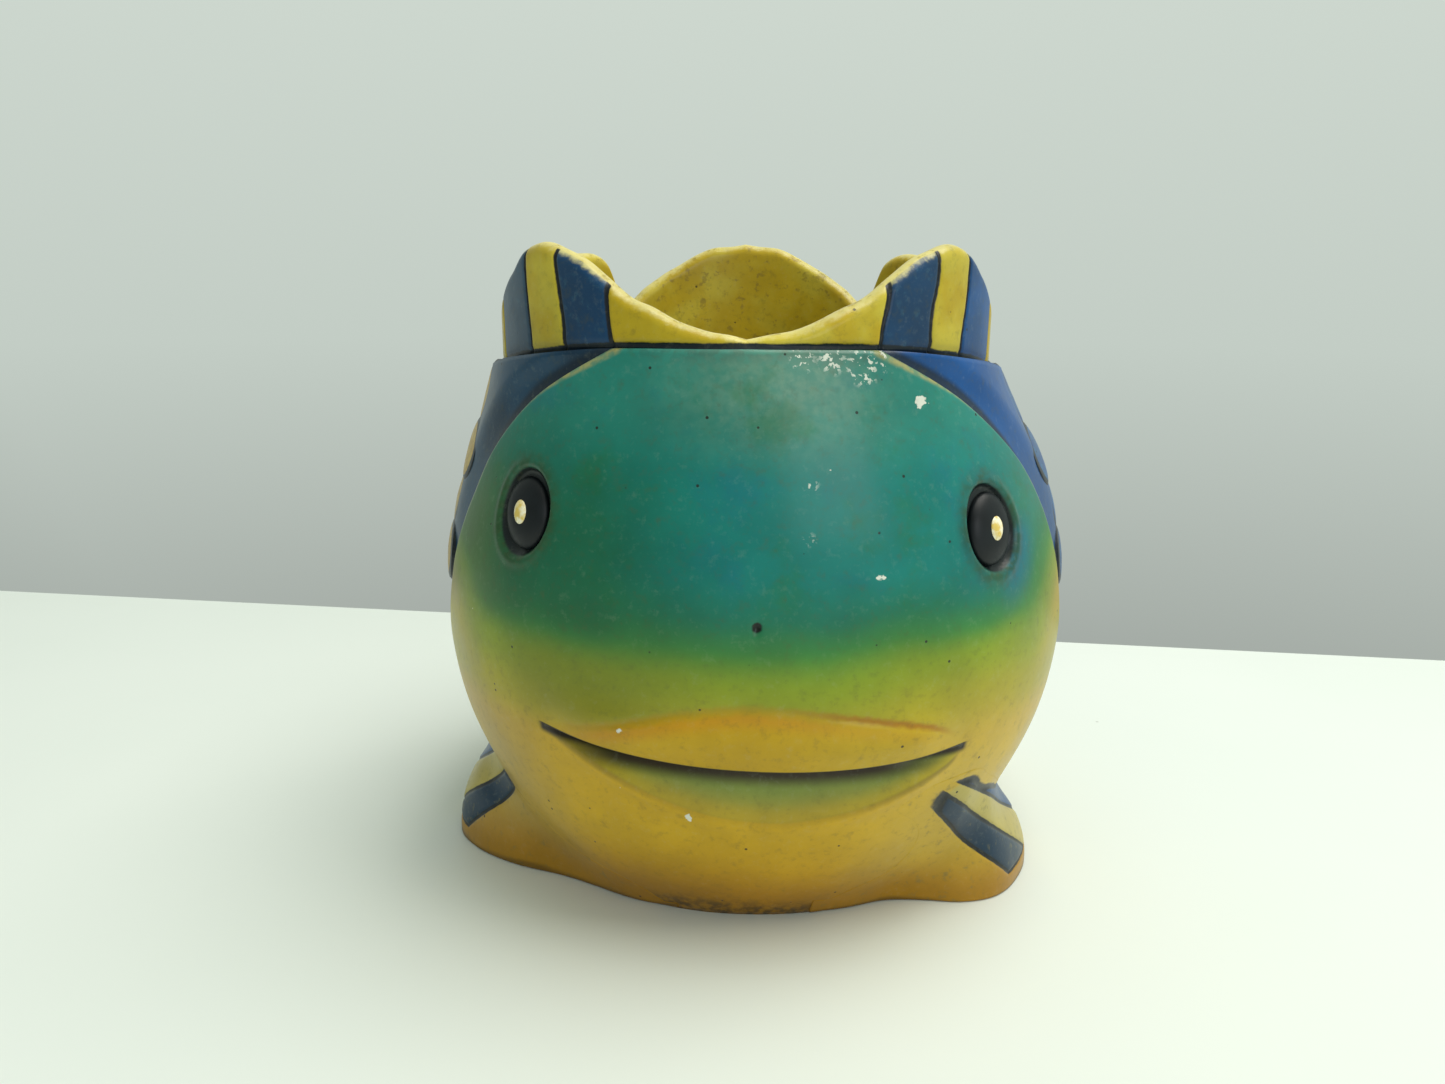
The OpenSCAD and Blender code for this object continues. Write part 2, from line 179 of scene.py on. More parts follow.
lip_line = [(-38, 38), (-30, 39.4), (-19, 41.9), (-12, 43.5), (0, 44.6), (17, 42.5), (32, 39.3), (39.5, 35.3)]


def curve(points, at):
    """A smooth curve through the points, read at every value in at."""
    p = np.array(points, float)
    x, y = p[:, 0], p[:, 1]
    low, high = np.maximum(np.arange(len(x)) - 1, 0), np.minimum(np.arange(len(x)) + 1, len(x) - 1)
    slope = (y[high] - y[low]) / (x[high] - x[low])
    at = np.clip(np.asarray(at, float), x[0], x[-1])
    k = np.clip(np.searchsorted(x, at, "right") - 1, 0, len(x) - 2)
    h = x[k + 1] - x[k]
    u = (at - x[k]) / h
    return ((2 * u**3 - 3 * u**2 + 1) * y[k] + (u**3 - 2 * u**2 + u) * h * slope[k]
            + (3 * u**2 - 2 * u**3) * y[k + 1] + (u**3 - u**2) * h * slope[k + 1])


def ease(u):
    u = np.clip(u, 0, 1)
    return u * u * (3 - 2 * u)


def bell(u):
    return np.exp(-u * u)


def turn(a):
    """The angle from straight ahead, whichever side it is on."""
    b = np.abs(a) % 360
    return np.where(b > 180, 360 - b, b)


def seat(a):
    return seat_z * curve(seat_line, turn(a))


def skin(a, z):
    """Distance of the fish's skin from the bowl's axis, at an angle and a height."""
    s, c = np.sin(np.radians(a)), np.cos(np.radians(a))
    w = body_w / 2 * curve(side_profile, z / seat_z)
    ahead, behind = face_reach * curve(face_profile, z / seat_z), back_reach * curve(back_profile, z / seat_z)
    d = np.where(c >= 0, ahead, behind)
    return ((np.abs(s) / w) ** squareness + (np.abs(c) / d) ** squareness) ** (-1 / squareness)


def place(a, r, z):
    """Points in metres from angle, radius and height. The top of the body leans a little to the left."""
    lean = -2 * ease((z - 0.72 * seat_z) / (0.28 * seat_z))
    return np.stack([r * np.sin(np.radians(a)) + lean, -r * np.cos(np.radians(a)), z + 0 * r], -1) * MM


def gill(z):
    return curve(gill_line, z)


def casting_depth(z):
    return np.minimum(face_t, 1.8 + (face_t - 1.8) * (seat_z - z) / 12)


def mouth_line(a):
    u = np.clip(a / mouth_angle, -1, 1)
    return mouth_z + 3 * u * u - 1.4 * u


def spaced(*runs):
    """Values from run to run, where each run is (start, end, number of steps)."""
    parts = [np.linspace(a, b, n, endpoint=False) for a, b, n in runs]
    return np.concatenate(parts + [[runs[-1][1]]])


def row_height(a, h):
    """Rows of the mesh bend to follow the mouth line and the collar's seat."""
    fade = 1 - ease((turn(a) - mouth_angle) / 30)
    return h * seat(a) / seat_z + (mouth_line(a) - mouth_z) * bell((h - mouth_z) / 9) * fade


def eye_span(a, z, side):
    """1 on the eye's oval outline, less inside it."""
    ea, ez = eye_places[side]
    along, rise = np.radians(a - ea) * skin(a, z), z - ez
    c, s = math.cos(math.radians(eye_lean)), -side * math.sin(math.radians(eye_lean))
    return np.hypot((along * c - rise * s) / eye_wide, (along * s + rise * c) / eye_tall)


def face_relief(a, z):
    line, jaw = mouth_line(a), curve(jaw_line, a)
    fade = ease((mouth_angle - np.abs(a)) / 12)
    above = z - line
    swell = lip_swell * fade * bell((above - 4.2) / 4) * (above > 0)
    swell = np.where(above > 0, swell, swell + lip_swell * fade * bell(4.2 / 4) * bell(above / 0.5))
    inside = np.clip((z - jaw) / np.maximum(line - jaw, 0.4), 0, 1)
    scoop = -mouth_step * fade * inside**1.4 * (above < 0) * ease(-above / 0.35)
    ridge = 0.45 * fade * bell((z - jaw + 1.2) / 1.6)
    crease = -0.25 * fade * bell((z - curve(lip_line, a) - 0.4) / 0.7)
    sockets = 0
    for side in (-1, 1):
        e = eye_span(a, z, side)
        sockets = sockets - 1.3 * (1 - ease((e - 0.93) / 0.22)) + 0.2 * bell((e - 1.22) / 0.12)
    nostril = -0.9 * bell(np.hypot(np.radians(a) * skin(a, z), z - 58) / 0.6)
    return swell + scoop + ridge + crease + sockets + nostril


def edge_gap(a, z):
    """Millimetres from the casting's gill edge, along the skin."""
    g = gill(z)
    steep = np.radians(gill(z + 0.5) - gill(z - 0.5)) * skin(g, z)
    return np.radians(g - np.abs(a)) * skin(a, z) / np.hypot(1, steep)


def build_mesh(name, points, faces, fields=None):
    """A smooth mesh object from points in metres, faces, and named numbers held at each point."""
    mesh = bpy.data.meshes.new(name)
    mesh.from_pydata(np.asarray(points).reshape(-1, 3).tolist(), [], faces)
    mesh.validate()
    mesh.polygons.foreach_set("use_smooth", [True] * len(mesh.polygons))
    for field, values in (fields or {}).items():
        mesh.attributes.new(field, "FLOAT", "POINT").data.foreach_set(
            "value", np.asarray(values, np.float32).ravel())
    fixed = bmesh.new()
    fixed.from_mesh(mesh)
    bmesh.ops.recalc_face_normals(fixed, faces=fixed.faces)
    fixed.to_mesh(mesh)
    fixed.free()
    o = bpy.data.objects.new(name, mesh)
    bpy.context.collection.objects.link(o)
    return o


def grid_faces(rows, cols, wrap=False, start=0):
    j, k = np.meshgrid(np.arange(rows - 1), np.arange(cols if wrap else cols - 1), indexing="ij")
    a, b = start + j * cols + k, start + j * cols + (k + 1) % cols
    return np.stack([a, b, b + cols, a + cols], -1).reshape(-1, 4).tolist()


# rows of the mesh are closest at the mouth and close at the eyes
face_rows = spaced((0, 25, 31), (25, 33.2, 34), (33.2, 35, 16), (35, 43, 30), (43, 62, 26), (62, 82, 42),
                   (82, seat_z, 22))
outer_cols, inner_cols = 360, 45
share = np.linspace(-1, 1, outer_cols + 1)
h = face_rows[:, None]
out_a = gill(h) * share
out_z = row_height(out_a, h)
gap = edge_gap(out_a, out_z)
rolled = edge_roll * (1 - np.sqrt(np.clip(1 - (1 - np.clip(gap, 0, 2.2) / 2.2) ** 2, 0, 1)))
out_r = skin(out_a, out_z) + face_relief(out_a, out_z) - rolled
in_a = gill(h) * np.linspace(1, -1, inner_cols + 1)
in_z = row_height(in_a, h)
in_r = skin(in_a, in_z) - casting_depth(in_z) - 0.2
points = np.concatenate([place(out_a, out_r, out_z), place(in_a, in_r, in_z)], 1)
loop = outer_cols + inner_cols + 2
faces = grid_faces(len(face_rows), loop, wrap=True)
step = outer_cols // inner_cols
for row, flip in ((0, 1), (len(face_rows) - 1, -1)):
    for k in range(inner_cols):
        rim = [row * loop + k * step + i for i in range(step + 1)]
        back = [row * loop + loop - 2 - k, row * loop + loop - 1 - k]
        faces.append((rim + back)[::flip])

# angle, height and radius of each of the larger chips, and of each patch of fine flakes
chips = [(33.2, 90.6, 1.1), (20.8, 65.1, 0.7), (-22.9, 40.5, 0.7), (-12.3, 24.1, 0.7)]
flaked = [(10.4, 97.2, 2.0), (16, 97, 2.2), (22, 95.8, 2.8), (27, 97, 2.0), (9.5, 79, 1.0), (8.6, 71.2, 0.8)]
all_a = np.concatenate([out_a, in_a], 1)
all_z = np.concatenate([out_z, in_z], 1)
chip, flakes = (np.min([np.hypot(np.radians(all_a - a) * 50, all_z - z) - r for a, z, r in spots], 0)
                for spots in (chips, flaked))
face_fields = {
    "angle": all_a,
    "above_mouth": all_z - mouth_line(all_a),
    "below_lip_top": curve(lip_line, all_a) - all_z,
    "above_jaw": all_z - curve(jaw_line, all_a),
    "mouth_end": mouth_angle - np.abs(all_a),
    "eye_gap": np.minimum(eye_span(all_a, all_z, -1), eye_span(all_a, all_z, 1)),
    "gill_gap": edge_gap(all_a, all_z),
    "chip_gap": chip,
    "flake_gap": flakes,
    "nostril_gap": np.hypot(np.radians(all_a) * 52.5, all_z - 58),
}
face = build_mesh("face_cast", points, faces, face_fields)


def painted_resin(name, colours, speck=1.0, shine=0.34):
    """Painted and varnished cast resin. colours(tree, spot) gives the paint; this adds what age and handling
    do to it: soft mottling, pin-prick dirt, tiny chips down to the white resin, and a worn satin varnish."""
    m = new_material(name)
    t = m.node_tree
    spot = add(t, "TexCoord").outputs["Object"]
    colour = colours(t, spot)
    # mottling about 12 mm across, where the airbrushed coat is thicker and thinner
    patches = add(t, "TexNoise", {"Vector": spot, "Scale": 85.0, "Detail": 5.0, "Roughness": 0.6})
    mottle = add(t, "MapRange", {0: patches.outputs["Fac"], 1: 0.3, 2: 0.7, 3: 0.86, 4: 1.1}).outputs[0]
    colour = add(t, "VectorMath", {0: colour, "Scale": mottle}, operation="SCALE").outputs[0]
    # grime about 1.5 mm across, darker in places and rubbed paler in others
    grime = add(t, "TexNoise", {"Vector": spot, "Scale": 620.0, "Detail": 4.0, "Roughness": 0.7})
    grime = grime.outputs["Fac"]
    dust = add(t, "MapRange", {0: grime, 1: 0.54, 2: 0.74, 3: 0.0, 4: 0.3}).outputs[0]
    colour = add(t, "Mix", {0: dust, 6: colour, 7: paint("#4e5028")}, data_type="RGBA").outputs[2]
    pale = add(t, "MapRange", {0: grime, 1: 0.44, 2: 0.28, 3: 0.0, 4: 0.06}).outputs[0]
    colour = add(t, "Mix", {0: pale, 6: colour, 7: paint("#c8d2b4")}, data_type="RGBA").outputs[2]
    # pin-pricks 0.5 mm across in some cells of 4 mm, drawn larger than they are so that they show
    cells = add(t, "TexVoronoi", {"Vector": spot, "Scale": 260.0, "Randomness": 1.0})
    prick = add(t, "MapRange", {0: cells.outputs["Distance"], 1: 0.05, 2: 0.075, 3: 1.0, 4: 0.0}).outputs[0]
    kept = add(t, "SeparateColor", {0: cells.outputs["Color"]}).outputs[0]
    kept = add(t, "MapRange", {0: kept, 1: 0.6, 2: 0.62, 3: 0.0, 4: 0.9 * speck}).outputs[0]
    prick = add(t, "Math", {0: prick, 1: kept}, operation="MULTIPLY").outputs[0]
    colour = add(t, "Mix", {0: prick, 6: colour, 7: paint("#1c1c14")}, data_type="RGBA").outputs[2]
    # chips through to the white resin, sparse and under 1 mm
    flake = add(t, "TexNoise", {"Vector": spot, "Scale": 330.0, "Detail": 3.0, "Roughness": 0.75})
    flake = add(t, "MapRange", {0: flake.outputs["Fac"], 1: 0.765, 2: 0.78, 3: 0.0, 4: speck}).outputs[0]
    colour = add(t, "Mix", {0: flake, 6: colour, 7: paint("#e6e2d2")}, data_type="RGBA").outputs[2]
    gloss = add(t, "MapRange", {0: mottle, 1: 0.86, 2: 1.1, 3: shine, 4: shine + 0.16}).outputs[0]
    ripple = add(t, "TexNoise", {"Vector": spot, "Scale": 240.0, "Detail": 3.0}).outputs["Fac"]
    bump = add(t, "Bump", {"Height": ripple, "Strength": 0.12, "Distance": 0.0006})
    bump = add(t, "Bump", {"Height": prick, "Strength": 0.4, "Distance": -0.0002, "Normal": bump.outputs[0]})
    skin_of_paint = add(t, "BsdfPrincipled", {
        "Base Color": colour, "Roughness": gloss, "Specular IOR Level": 0.24,
        "Coat Weight": 0.3, "Coat Roughness": 0.22, "Normal": bump.outputs[0]})
    add(t, "OutputMaterial", {"Surface": skin_of_paint.outputs[0]})
    return m


def coat(t, under, colour, *fades):
    """One coat of paint over another. Each fade is a reading with its start and end: the cover goes smoothly
    from none to full between them, or between two covers given after them. Several fades multiply."""
    cover = None
    for reading, start, end, *covers in fades:
        low, high = covers or (0.0, 1.0)
        fade = add(t, "MapRange", {0: reading, 1: start, 2: end, 3: low, 4: high},
                   interpolation_type="SMOOTHSTEP").outputs[0]
        if cover is not None:
            fade = add(t, "Math", {0: cover, 1: fade}, operation="MULTIPLY").outputs[0]
        cover = fade
    under, colour = (paint(c) if isinstance(c, str) else c for c in (under, colour))
    return add(t, "Mix", {0: cover, 6: under, 7: colour}, data_type="RGBA").outputs[2]


def wavering_height(t, spot, scale, detail):
    """A noise, and height in mm moved up and down by it, as a hand-held airbrush wavers by 2 to 3 mm."""
    waver = add(t, "TexNoise", {"Vector": spot, "Scale": scale, "Detail": detail}).outputs["Fac"]
    z = add(t, "SeparateXYZ", {0: spot}).outputs["Z"]
    z = add(t, "Math", {0: z, 1: 1000.0, 2: -3.0}, operation="MULTIPLY_ADD").outputs[0]
    return waver, add(t, "Math", {0: waver, 1: 6.0, 2: z}, operation="MULTIPLY_ADD").outputs[0]


def cut_line(t, fine, band):
    """How far a point is from the edge of a painted band, in millimetres, with the raggedness of a brush."""
    away = add(t, "Math", {0: band}, operation="ABSOLUTE").outputs[0]
    return add(t, "Math", {0: fine, 1: 0.3, 2: away}, operation="MULTIPLY_ADD").outputs[0]


def face_colours(t, spot):
    (angle, above_mouth, below_lip, above_jaw, mouth_end, eye_gap, gill_gap, chip_gap, flake_gap,
     nostril_gap) = (add(t, "Attribute", attribute_name=name).outputs["Fac"] for name in face_fields)
    _, z = wavering_height(t, spot, 34.0, 2.0)
    fine = add(t, "TexNoise", {"Vector": spot, "Scale": 700.0, "Detail": 3.0}).outputs["Fac"]
    # the teal starts a little higher at the sides, and the yellow climbs towards the gill edge
    side = add(t, "Math", {0: angle, 1: 1 / 52}, operation="MULTIPLY").outputs[0]
    bulge = add(t, "Math", {0: side, 1: side}, operation="MULTIPLY").outputs[0]
    z_teal = add(t, "Math", {0: bulge, 1: -2.6, 2: z}, operation="MULTIPLY_ADD").outputs[0]
    climb = add(t, "MapRange", {0: gill_gap, 1: 19.0, 2: 0.0, 3: 0.0, 4: -12.0},
                interpolation_type="SMOOTHSTEP").outputs[0]
    low_down = add(t, "MapRange", {0: z, 1: 94.0, 2: 52.0}, interpolation_type="SMOOTHSTEP").outputs[0]
    z_teal = add(t, "Math", {0: climb, 1: low_down, 2: z_teal}, operation="MULTIPLY_ADD").outputs[0]

    # ochre at the table, which is painted shade, golden belly, a paler left cheek, and paler to the right,
    # which is a painted highlight of the varnish's sheen
    colour = coat(t, "#8a5c00", "#b88a02", (z, 1, 9))
    colour = coat(t, colour, "#caa20c", (z, 6, 22))
    colour = coat(t, colour, "#bfa045", (bulge, 0.3, 1.2), (angle, 20, -20))
    # painted highlight: paler to the right, where the varnish shines in the light
    colour = coat(t, colour, "#c6a838", (angle, 12, 40, 0.0, 0.7))
    # painted shade: darker again towards the table
    colour = coat(t, colour, "#a87804", (z, 14, 2, 0.0, 0.9))
    # yellow through green to teal, in overlapping passes
    colour = coat(t, colour, "#aca01e", (z, 36, 44), (z, 60, 50))
    colour = coat(t, colour, "#879a18", (z_teal, 40.5, 50))
    # painted shade: olive over the lower left cheek, on the side away from the light
    colour = coat(t, colour, "#6c7212", (angle, -2, -26), (z_teal, 36, 44), (angle, -52, -36, 0.0, 0.6))
    colour = coat(t, colour, "#3f8430", (z_teal, 48.5, 55))
    colour = coat(t, colour, "#107252", (z_teal, 52, 59.5))
    colour = coat(t, colour, "#057c73", (z_teal, 56, 66))
    colour = coat(t, colour, "#2b8472", (z, 78, 90, 0.0, 0.6))
    # a pale sage patch on the forehead, partly rubbed paint and partly a painted highlight of the varnish's
    # sheen
    colour = coat(t, colour, "#7f9f85", (z, 77, 95), (angle, 34, 10), (angle, -26, 8),
                  (fine, 0.3, 0.7, 0.3, 0.6))
    # brushed streaks where the two coats were dabbed together, some bluer and some greener
    dab = add(t, "TexNoise", {"Vector": spot, "Scale": 60.0, "Detail": 6.0, "Roughness": 0.65}).outputs["Fac"]
    colour = coat(t, colour, "#046a80", (z_teal, 56, 64), (dab, 0.5, 0.68, 0.0, 0.4))
    colour = coat(t, colour, "#1f7038", (z_teal, 48, 60), (dab, 0.46, 0.3, 0.0, 0.45))
    # the left cheek is a deep green, partly from more yellow under the teal and partly painted shade on the
    # side away from the light
    colour = coat(t, colour, "#0e5e30", (angle, -2, -32), (z_teal, 94, 68), (z_teal, 50, 57, 0.0, 0.75))
    # olive overspray behind each eye, and a breath of blue under the right one
    outward = add(t, "Math", {0: side}, operation="ABSOLUTE").outputs[0]
    colour = coat(t, colour, "#55702c", (z, 84, 70), (z, 50, 60), (outward, 0.8, 1.1, 0.0, 0.55),
                  (angle, 20, -20, 0.35, 1.0))
    colour = coat(t, colour, "#04688c", (eye_gap, 2.5, 1.1), (angle, 42, 48), (z, 73, 67, 0.0, 0.7))

    # golden upper lip, brushed on over the yellow, with a browner line along its top
    lip_depth = add(t, "Math", {0: fine, 1: 1.0, 2: below_lip}, operation="MULTIPLY_ADD").outputs[0]
    gold = coat(t, "#c09a04", "#c48a02", (below_lip, 4.0, 0.6, 0.0, 0.85))
    gold = coat(t, gold, "#c2a41c", (angle, 0, 24, 0.0, 0.6))
    colour = coat(t, colour, gold, (lip_depth, -1.0, 2.2), (mouth_end, 0.5, 14), (above_mouth, -0.2, 0.0))
    colour = coat(t, colour, "#a46a10", (lip_depth, -0.9, 0.0), (lip_depth, 1.0, 0.1),
                  (angle, 2, 20, 0.15, 0.8), (mouth_end, 2, 9))
    # grey-green lining between the mouth and the jaw, yellower towards the jaw, and dark under the lip, which
    # is partly dark paint and partly painted shade under the lip's overhang
    lining = coat(t, "#b09c20", "#80903c", (above_jaw, 0.3, 4.0))
    lining = coat(t, lining, "#b89a20", (bulge, 0.3, 0.0), (above_jaw, 6.5, 1.0, 0.0, 0.6))
    lining = coat(t, lining, "#33260a", (bulge, 0.55, 0.2), (above_mouth, -4.6, -2.0))
    colour = coat(t, colour, lining, (above_jaw, -0.25, 0.35), (above_mouth, 0.0, -0.3),
                  (mouth_end, 0.0, 2.0))
    # painted shade along the jaw line
    colour = coat(t, colour, "#7b6a20", (above_jaw, -1.5, -0.1), (above_jaw, 0.6, -0.1),
                  (mouth_end, 0.2, 2.0), (mouth_end, 2, 30, 0.75, 0.15))
    # dark line in the mouth, partly a painted line and partly painted shadow under the lip's overhang
    colour = coat(t, colour, "#201400", (above_mouth, -2.1, -0.8), (above_mouth, 0.3, 0.05),
                  (mouth_end, -1.0, 0.3))

    # nostril, then the dark ring round each eye with a dirty halo outside it
    colour = coat(t, colour, "#06140f", (nostril_gap, 1.0, 0.65))
    colour = coat(t, colour, "#2c4a26", (eye_gap, 1.65, 1.12), (fine, 0.35, 0.65, 0.4, 0.8))
    colour = coat(t, colour, "#0f1c1e", (eye_gap, 1.1, 1.04))
    # darker in patches in the 3 mm under the collar, the worn and lined gill edge, and darker in patches
    # within 5 mm of the table
    colour = coat(t, colour, "#20403a", (z, 95.5, 98.5, 0.0, 0.35), (fine, 0.35, 0.6))
    colour = coat(t, colour, "#b3a860", (gill_gap, 1.9, 1.0), (gill_gap, 0.1, 0.8),
                  (fine, 0.35, 0.6, 0.3, 0.75))
    colour = coat(t, colour, "#17303a", (gill_gap, 0.7, 0.1, 0.0, 0.85))
    colour = coat(t, colour, "#5d4410", (z, 5, 0.5), (fine, 0.3, 0.65))
    # a scatter of fine flakes under the collar, then the larger chips, ragged at their edges
    crumbs = add(t, "TexNoise", {"Vector": spot, "Scale": 1100.0, "Detail": 2.0, "Roughness": 0.6})
    colour = coat(t, colour, "#dde3d4", (flake_gap, 0.6, -1.2), (crumbs.outputs["Fac"], 0.56, 0.6))
    chip = add(t, "Math", {0: fine, 1: 3.0, 2: chip_gap}, operation="MULTIPLY_ADD").outputs[0]
    return coat(t, colour, "#e2e4d6", (chip, 1.35, 1.15))


face.data.materials.append(painted_resin("airbrushed_varnished_resin", face_colours))
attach(face, "fish")
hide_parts("face_casting")


# ---------------------------------------------------------------------------------------------------------
# Body casting: the hollow resin pot itself, blue over the back and yellow at the foot, with a bare yellow
# bowl inside. The inlet passes through a flat spot at the rear, faced inside and out for the gasket and nut.

collar_wall, bowl_wall, floor_z = 4.0, 9.0, 16.0
inlet_z = 25.0
bowl_line = [(0, 0.62), (2, 0.74), (6, 0.86), (14, 0.95), (24, 1)]
inlet_box, nut_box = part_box("inlet_gasket"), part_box("inlet_nut")
seat_out, seat_in = inlet_box[0][1] / MM, nut_box[1][1] / MM
gasket_r = (inlet_box[1][0] - inlet_box[0][0]) / 2 / MM + 0.6
nut_r = (nut_box[1][0] - nut_box[0][0]) / 2 / MM + 0.9


def flank(a, z):
    return skin(a, z) - face_step * (1 - ease((turn(a) - gill(z)) / 14))


def bowl_radius(a, z):
    full = skin(a, z) - collar_wall - (bowl_wall - collar_wall) * ease((seat_z - z) / 26)
    return full * curve(bowl_line, z - floor_z)


flank_rows = spaced((0, seat_z, 130))
h = flank_rows[:, None]
g = gill(h)
hidden = g * np.linspace(-1, 1, 81)[None, :-1]
shown = g + (360 - 2 * g) * np.linspace(0, 1, 421)[None, :-1]
body_a = np.concatenate([hidden, shown], 1)
body_z = h * seat(body_a) / seat_z
tucked = skin(body_a, body_z) - casting_depth(body_z)
body_r = np.where(turn(body_a) < g - 0.01, tucked, flank(body_a, body_z))
rear = np.radians(turn(body_a) - 180) * body_r
spot_flat = np.hypot(rear, body_z - inlet_z) < gasket_r
flat_r = seat_out / np.cos(np.radians(180 - turn(body_a)))
body_r = np.where(spot_flat, np.minimum(body_r, flat_r), body_r)
bowl_rows = seat_z - (seat_z - floor_z) * np.linspace(0, 1, 90) ** 0.8
bowl_a = np.linspace(-180, 180, 501)[None, :-1] + 0 * bowl_rows[:, None]
bowl_z = floor_z + (bowl_rows[:, None] - floor_z) * (seat(bowl_a) - floor_z) / (seat_z - floor_z)
bowl_r = bowl_radius(bowl_a, bowl_z)
rear = np.radians(turn(bowl_a) - 180) * bowl_r
spot_flat = np.hypot(rear, bowl_z - inlet_z) < nut_r
flat_r = seat_in / np.cos(np.radians(180 - turn(bowl_a)))
bowl_r = np.where(spot_flat, np.maximum(bowl_r, flat_r), bowl_r)
start_angle = np.argmin(np.abs(bowl_a[0] - body_a[-1, 0]))
bowl_a, bowl_z, bowl_r = (np.roll(v, -start_angle, 1) for v in (bowl_a, bowl_z, bowl_r))
points = np.concatenate([place(body_a, body_r, body_z), place(bowl_a, bowl_r, bowl_z)]).reshape(-1, 3)
rows, cols = len(flank_rows) + len(bowl_rows), 500
points = np.concatenate([points, [[0, 0, 0], [0, 0, floor_z * MM]]])
faces = grid_faces(rows, cols, wrap=True)
under, floor = rows * cols, rows * cols + 1
faces += [(k, under, (k + 1) % cols) for k in range(cols)]
last = (rows - 1) * cols
faces += [(last + k, last + (k + 1) % cols, floor) for k in range(cols)]
inside = np.concatenate([np.zeros(len(flank_rows) * cols), np.ones(len(bowl_rows) * cols), [0, 1]])
body_angle = np.concatenate([body_a.ravel(), bowl_a.ravel(), [0, 0]])
behind_gill = np.concatenate([-edge_gap(turn(body_a), body_z).ravel(), np.full(bowl_a.size + 2, 50.0)])
body = build_mesh("body_cast", points, faces,
                  {"inside": inside, "angle": body_angle, "behind_gill": behind_gill})


def body_colours(t, spot):
    inside, angle, behind_gill = (
        add(t, "Attribute", attribute_name=name).outputs["Fac"]
        for name in ("inside", "angle", "behind_gill"))
    waver, z = wavering_height(t, spot, 40.0, 3.0)
    fine = add(t, "TexNoise", {"Vector": spot, "Scale": 500.0, "Detail": 4.0}).outputs["Fac"]
    # golden foot, darkened towards the table as painted shade, a green blend, then blue that brightens
    # upwards and is slatier low down
    colour = coat(t, "#8a5c00", "#b88a02", (z, 1, 9))
    colour = coat(t, colour, "#c6a428", (z, 6, 22))
    colour = coat(t, colour, "#7fa050", (z, 24, 31))
    colour = coat(t, colour, "#1a6680", (z, 28, 35))
    colour = coat(t, colour, "#0c477c", (z, 32, 46))
    colour = coat(t, colour, "#064e90", (z, 60, 96))
    colour = coat(t, colour, "#274a62", (z, 33, 40), (z, 64, 50))
    # the left flank is navy, and a dark line follows the gill edge
    navy = coat(t, "#0c3048", "#123f5c", (waver, 0.4, 0.6))
    colour = coat(t, colour, navy, (angle, 181, 215), (z, 30, 42))
    colour = coat(t, colour, "#0f2233", (behind_gill, 1.6, 0.4, 0.0, 0.9))
    bowl = coat(t, "#a08a34", "#c9bb62", (z, 20, 70))
    bowl = coat(t, bowl, "#7c6a30", (fine, 0.56, 0.7, 0.0, 0.45))
    return coat(t, colour, bowl, (inside, 0.4, 0.6))


body.data.materials.append(painted_resin("brushed_blue_varnished_resin", body_colours))
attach(body, "fish")
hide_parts("body_casting")


# ---------------------------------------------------------------------------------------------------------
# Fin collar: a cast ring with a wavy top, bonded down round the bowl's mouth. Its outside is painted in
# upright stripes that are cut in with fine lines; its lip is rubbed pale and its inside is plain yellow.

collar_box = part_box("fin_collar")
collar_x = (collar_box[0][0] + collar_box[1][0]) / 2 / MM
collar_r = (collar_box[1][0] - collar_box[0][0]) / 2 / MM
dip_z, lobe_top = 100.1, collar_box[1][2] / MM
lobe_line = [(0, 0), (12, 0.13), (20, 0.31), (26, 0.445), (35, 0.75), (42, 0.88), (49, 0.95), (55, 0.88),
             (62, 0.68), (78, 0.28), (92, 0.2), (106, 0.42), (118, 0.76), (127, 0.86), (135, 0.76),
             (139, 0.4), (143, 0.16), (150, 0.4), (158, 0.64), (168, 0.9), (180, 1)]
dark_stripes = [(27.5, 40.5), (52, 70), (81, 93), (104, 116), (128, 137), (150, 162), (172, 180)]
cut_wide, cut_deep = 0.42, 0.4

turns, wall_steps, lip_steps = 1440, 22, 9
ring_a = np.linspace(-180, 180, turns, endpoint=False)[:, None]
foot_z, top_z = seat(ring_a), dip_z + (lobe_top - dip_z) * curve(lobe_line, turn(ring_a))
rough_top = 0.25 * np.array([noise.noise(Vector((math.cos(v) * 9, math.sin(v) * 9, 4))) for v in
                             np.radians(ring_a[:, 0])])[:, None]
top_z = top_z - 0.3 + rough_top
half = collar_wall / 2
lip_round = np.minimum(half, (top_z - foot_z) * 0.9)
lip_turn = np.linspace(0, 180, 2 * lip_steps + 1)[None, 1:-1]
wall_z = foot_z + (top_z - lip_round - foot_z) * np.linspace(0, 1, wall_steps)
lip_r = collar_r - half + half * np.cos(np.radians(lip_turn)) + 0 * foot_z
lip_z = top_z - lip_round + lip_round * np.sin(np.radians(lip_turn))
ring_r = np.concatenate([collar_r + 0 * wall_z, lip_r, collar_r - collar_wall + 0 * wall_z], 1)
ring_z = np.concatenate([wall_z, lip_z, wall_z[:, ::-1]], 1)
shaky = np.array([[noise.noise(Vector((a / 9, z / 7, 2))) for z in range(26)] for a in ring_a[:, 0]])
shaky = np.take_along_axis(shaky, np.clip((ring_z - foot_z).astype(int), 0, 25), 1)
bearing = turn(ring_a) - 2.2 * (ring_z - foot_z) / 15 + 0.9 * shaky
stripe = np.max([np.minimum(bearing - a, b - bearing) for a, b in dark_stripes], 0)
stripe = np.where(bearing > 174, 4.0, stripe) * math.radians(1) * collar_r
outer = np.clip((ring_r - collar_r + 1.6) / 1.2, 0, 1)
cut = cut_deep * (bell(stripe / cut_wide) + 0.8 * bell((ring_z - foot_z - 0.5) / 0.5)) * outer
ring_r = ring_r - cut
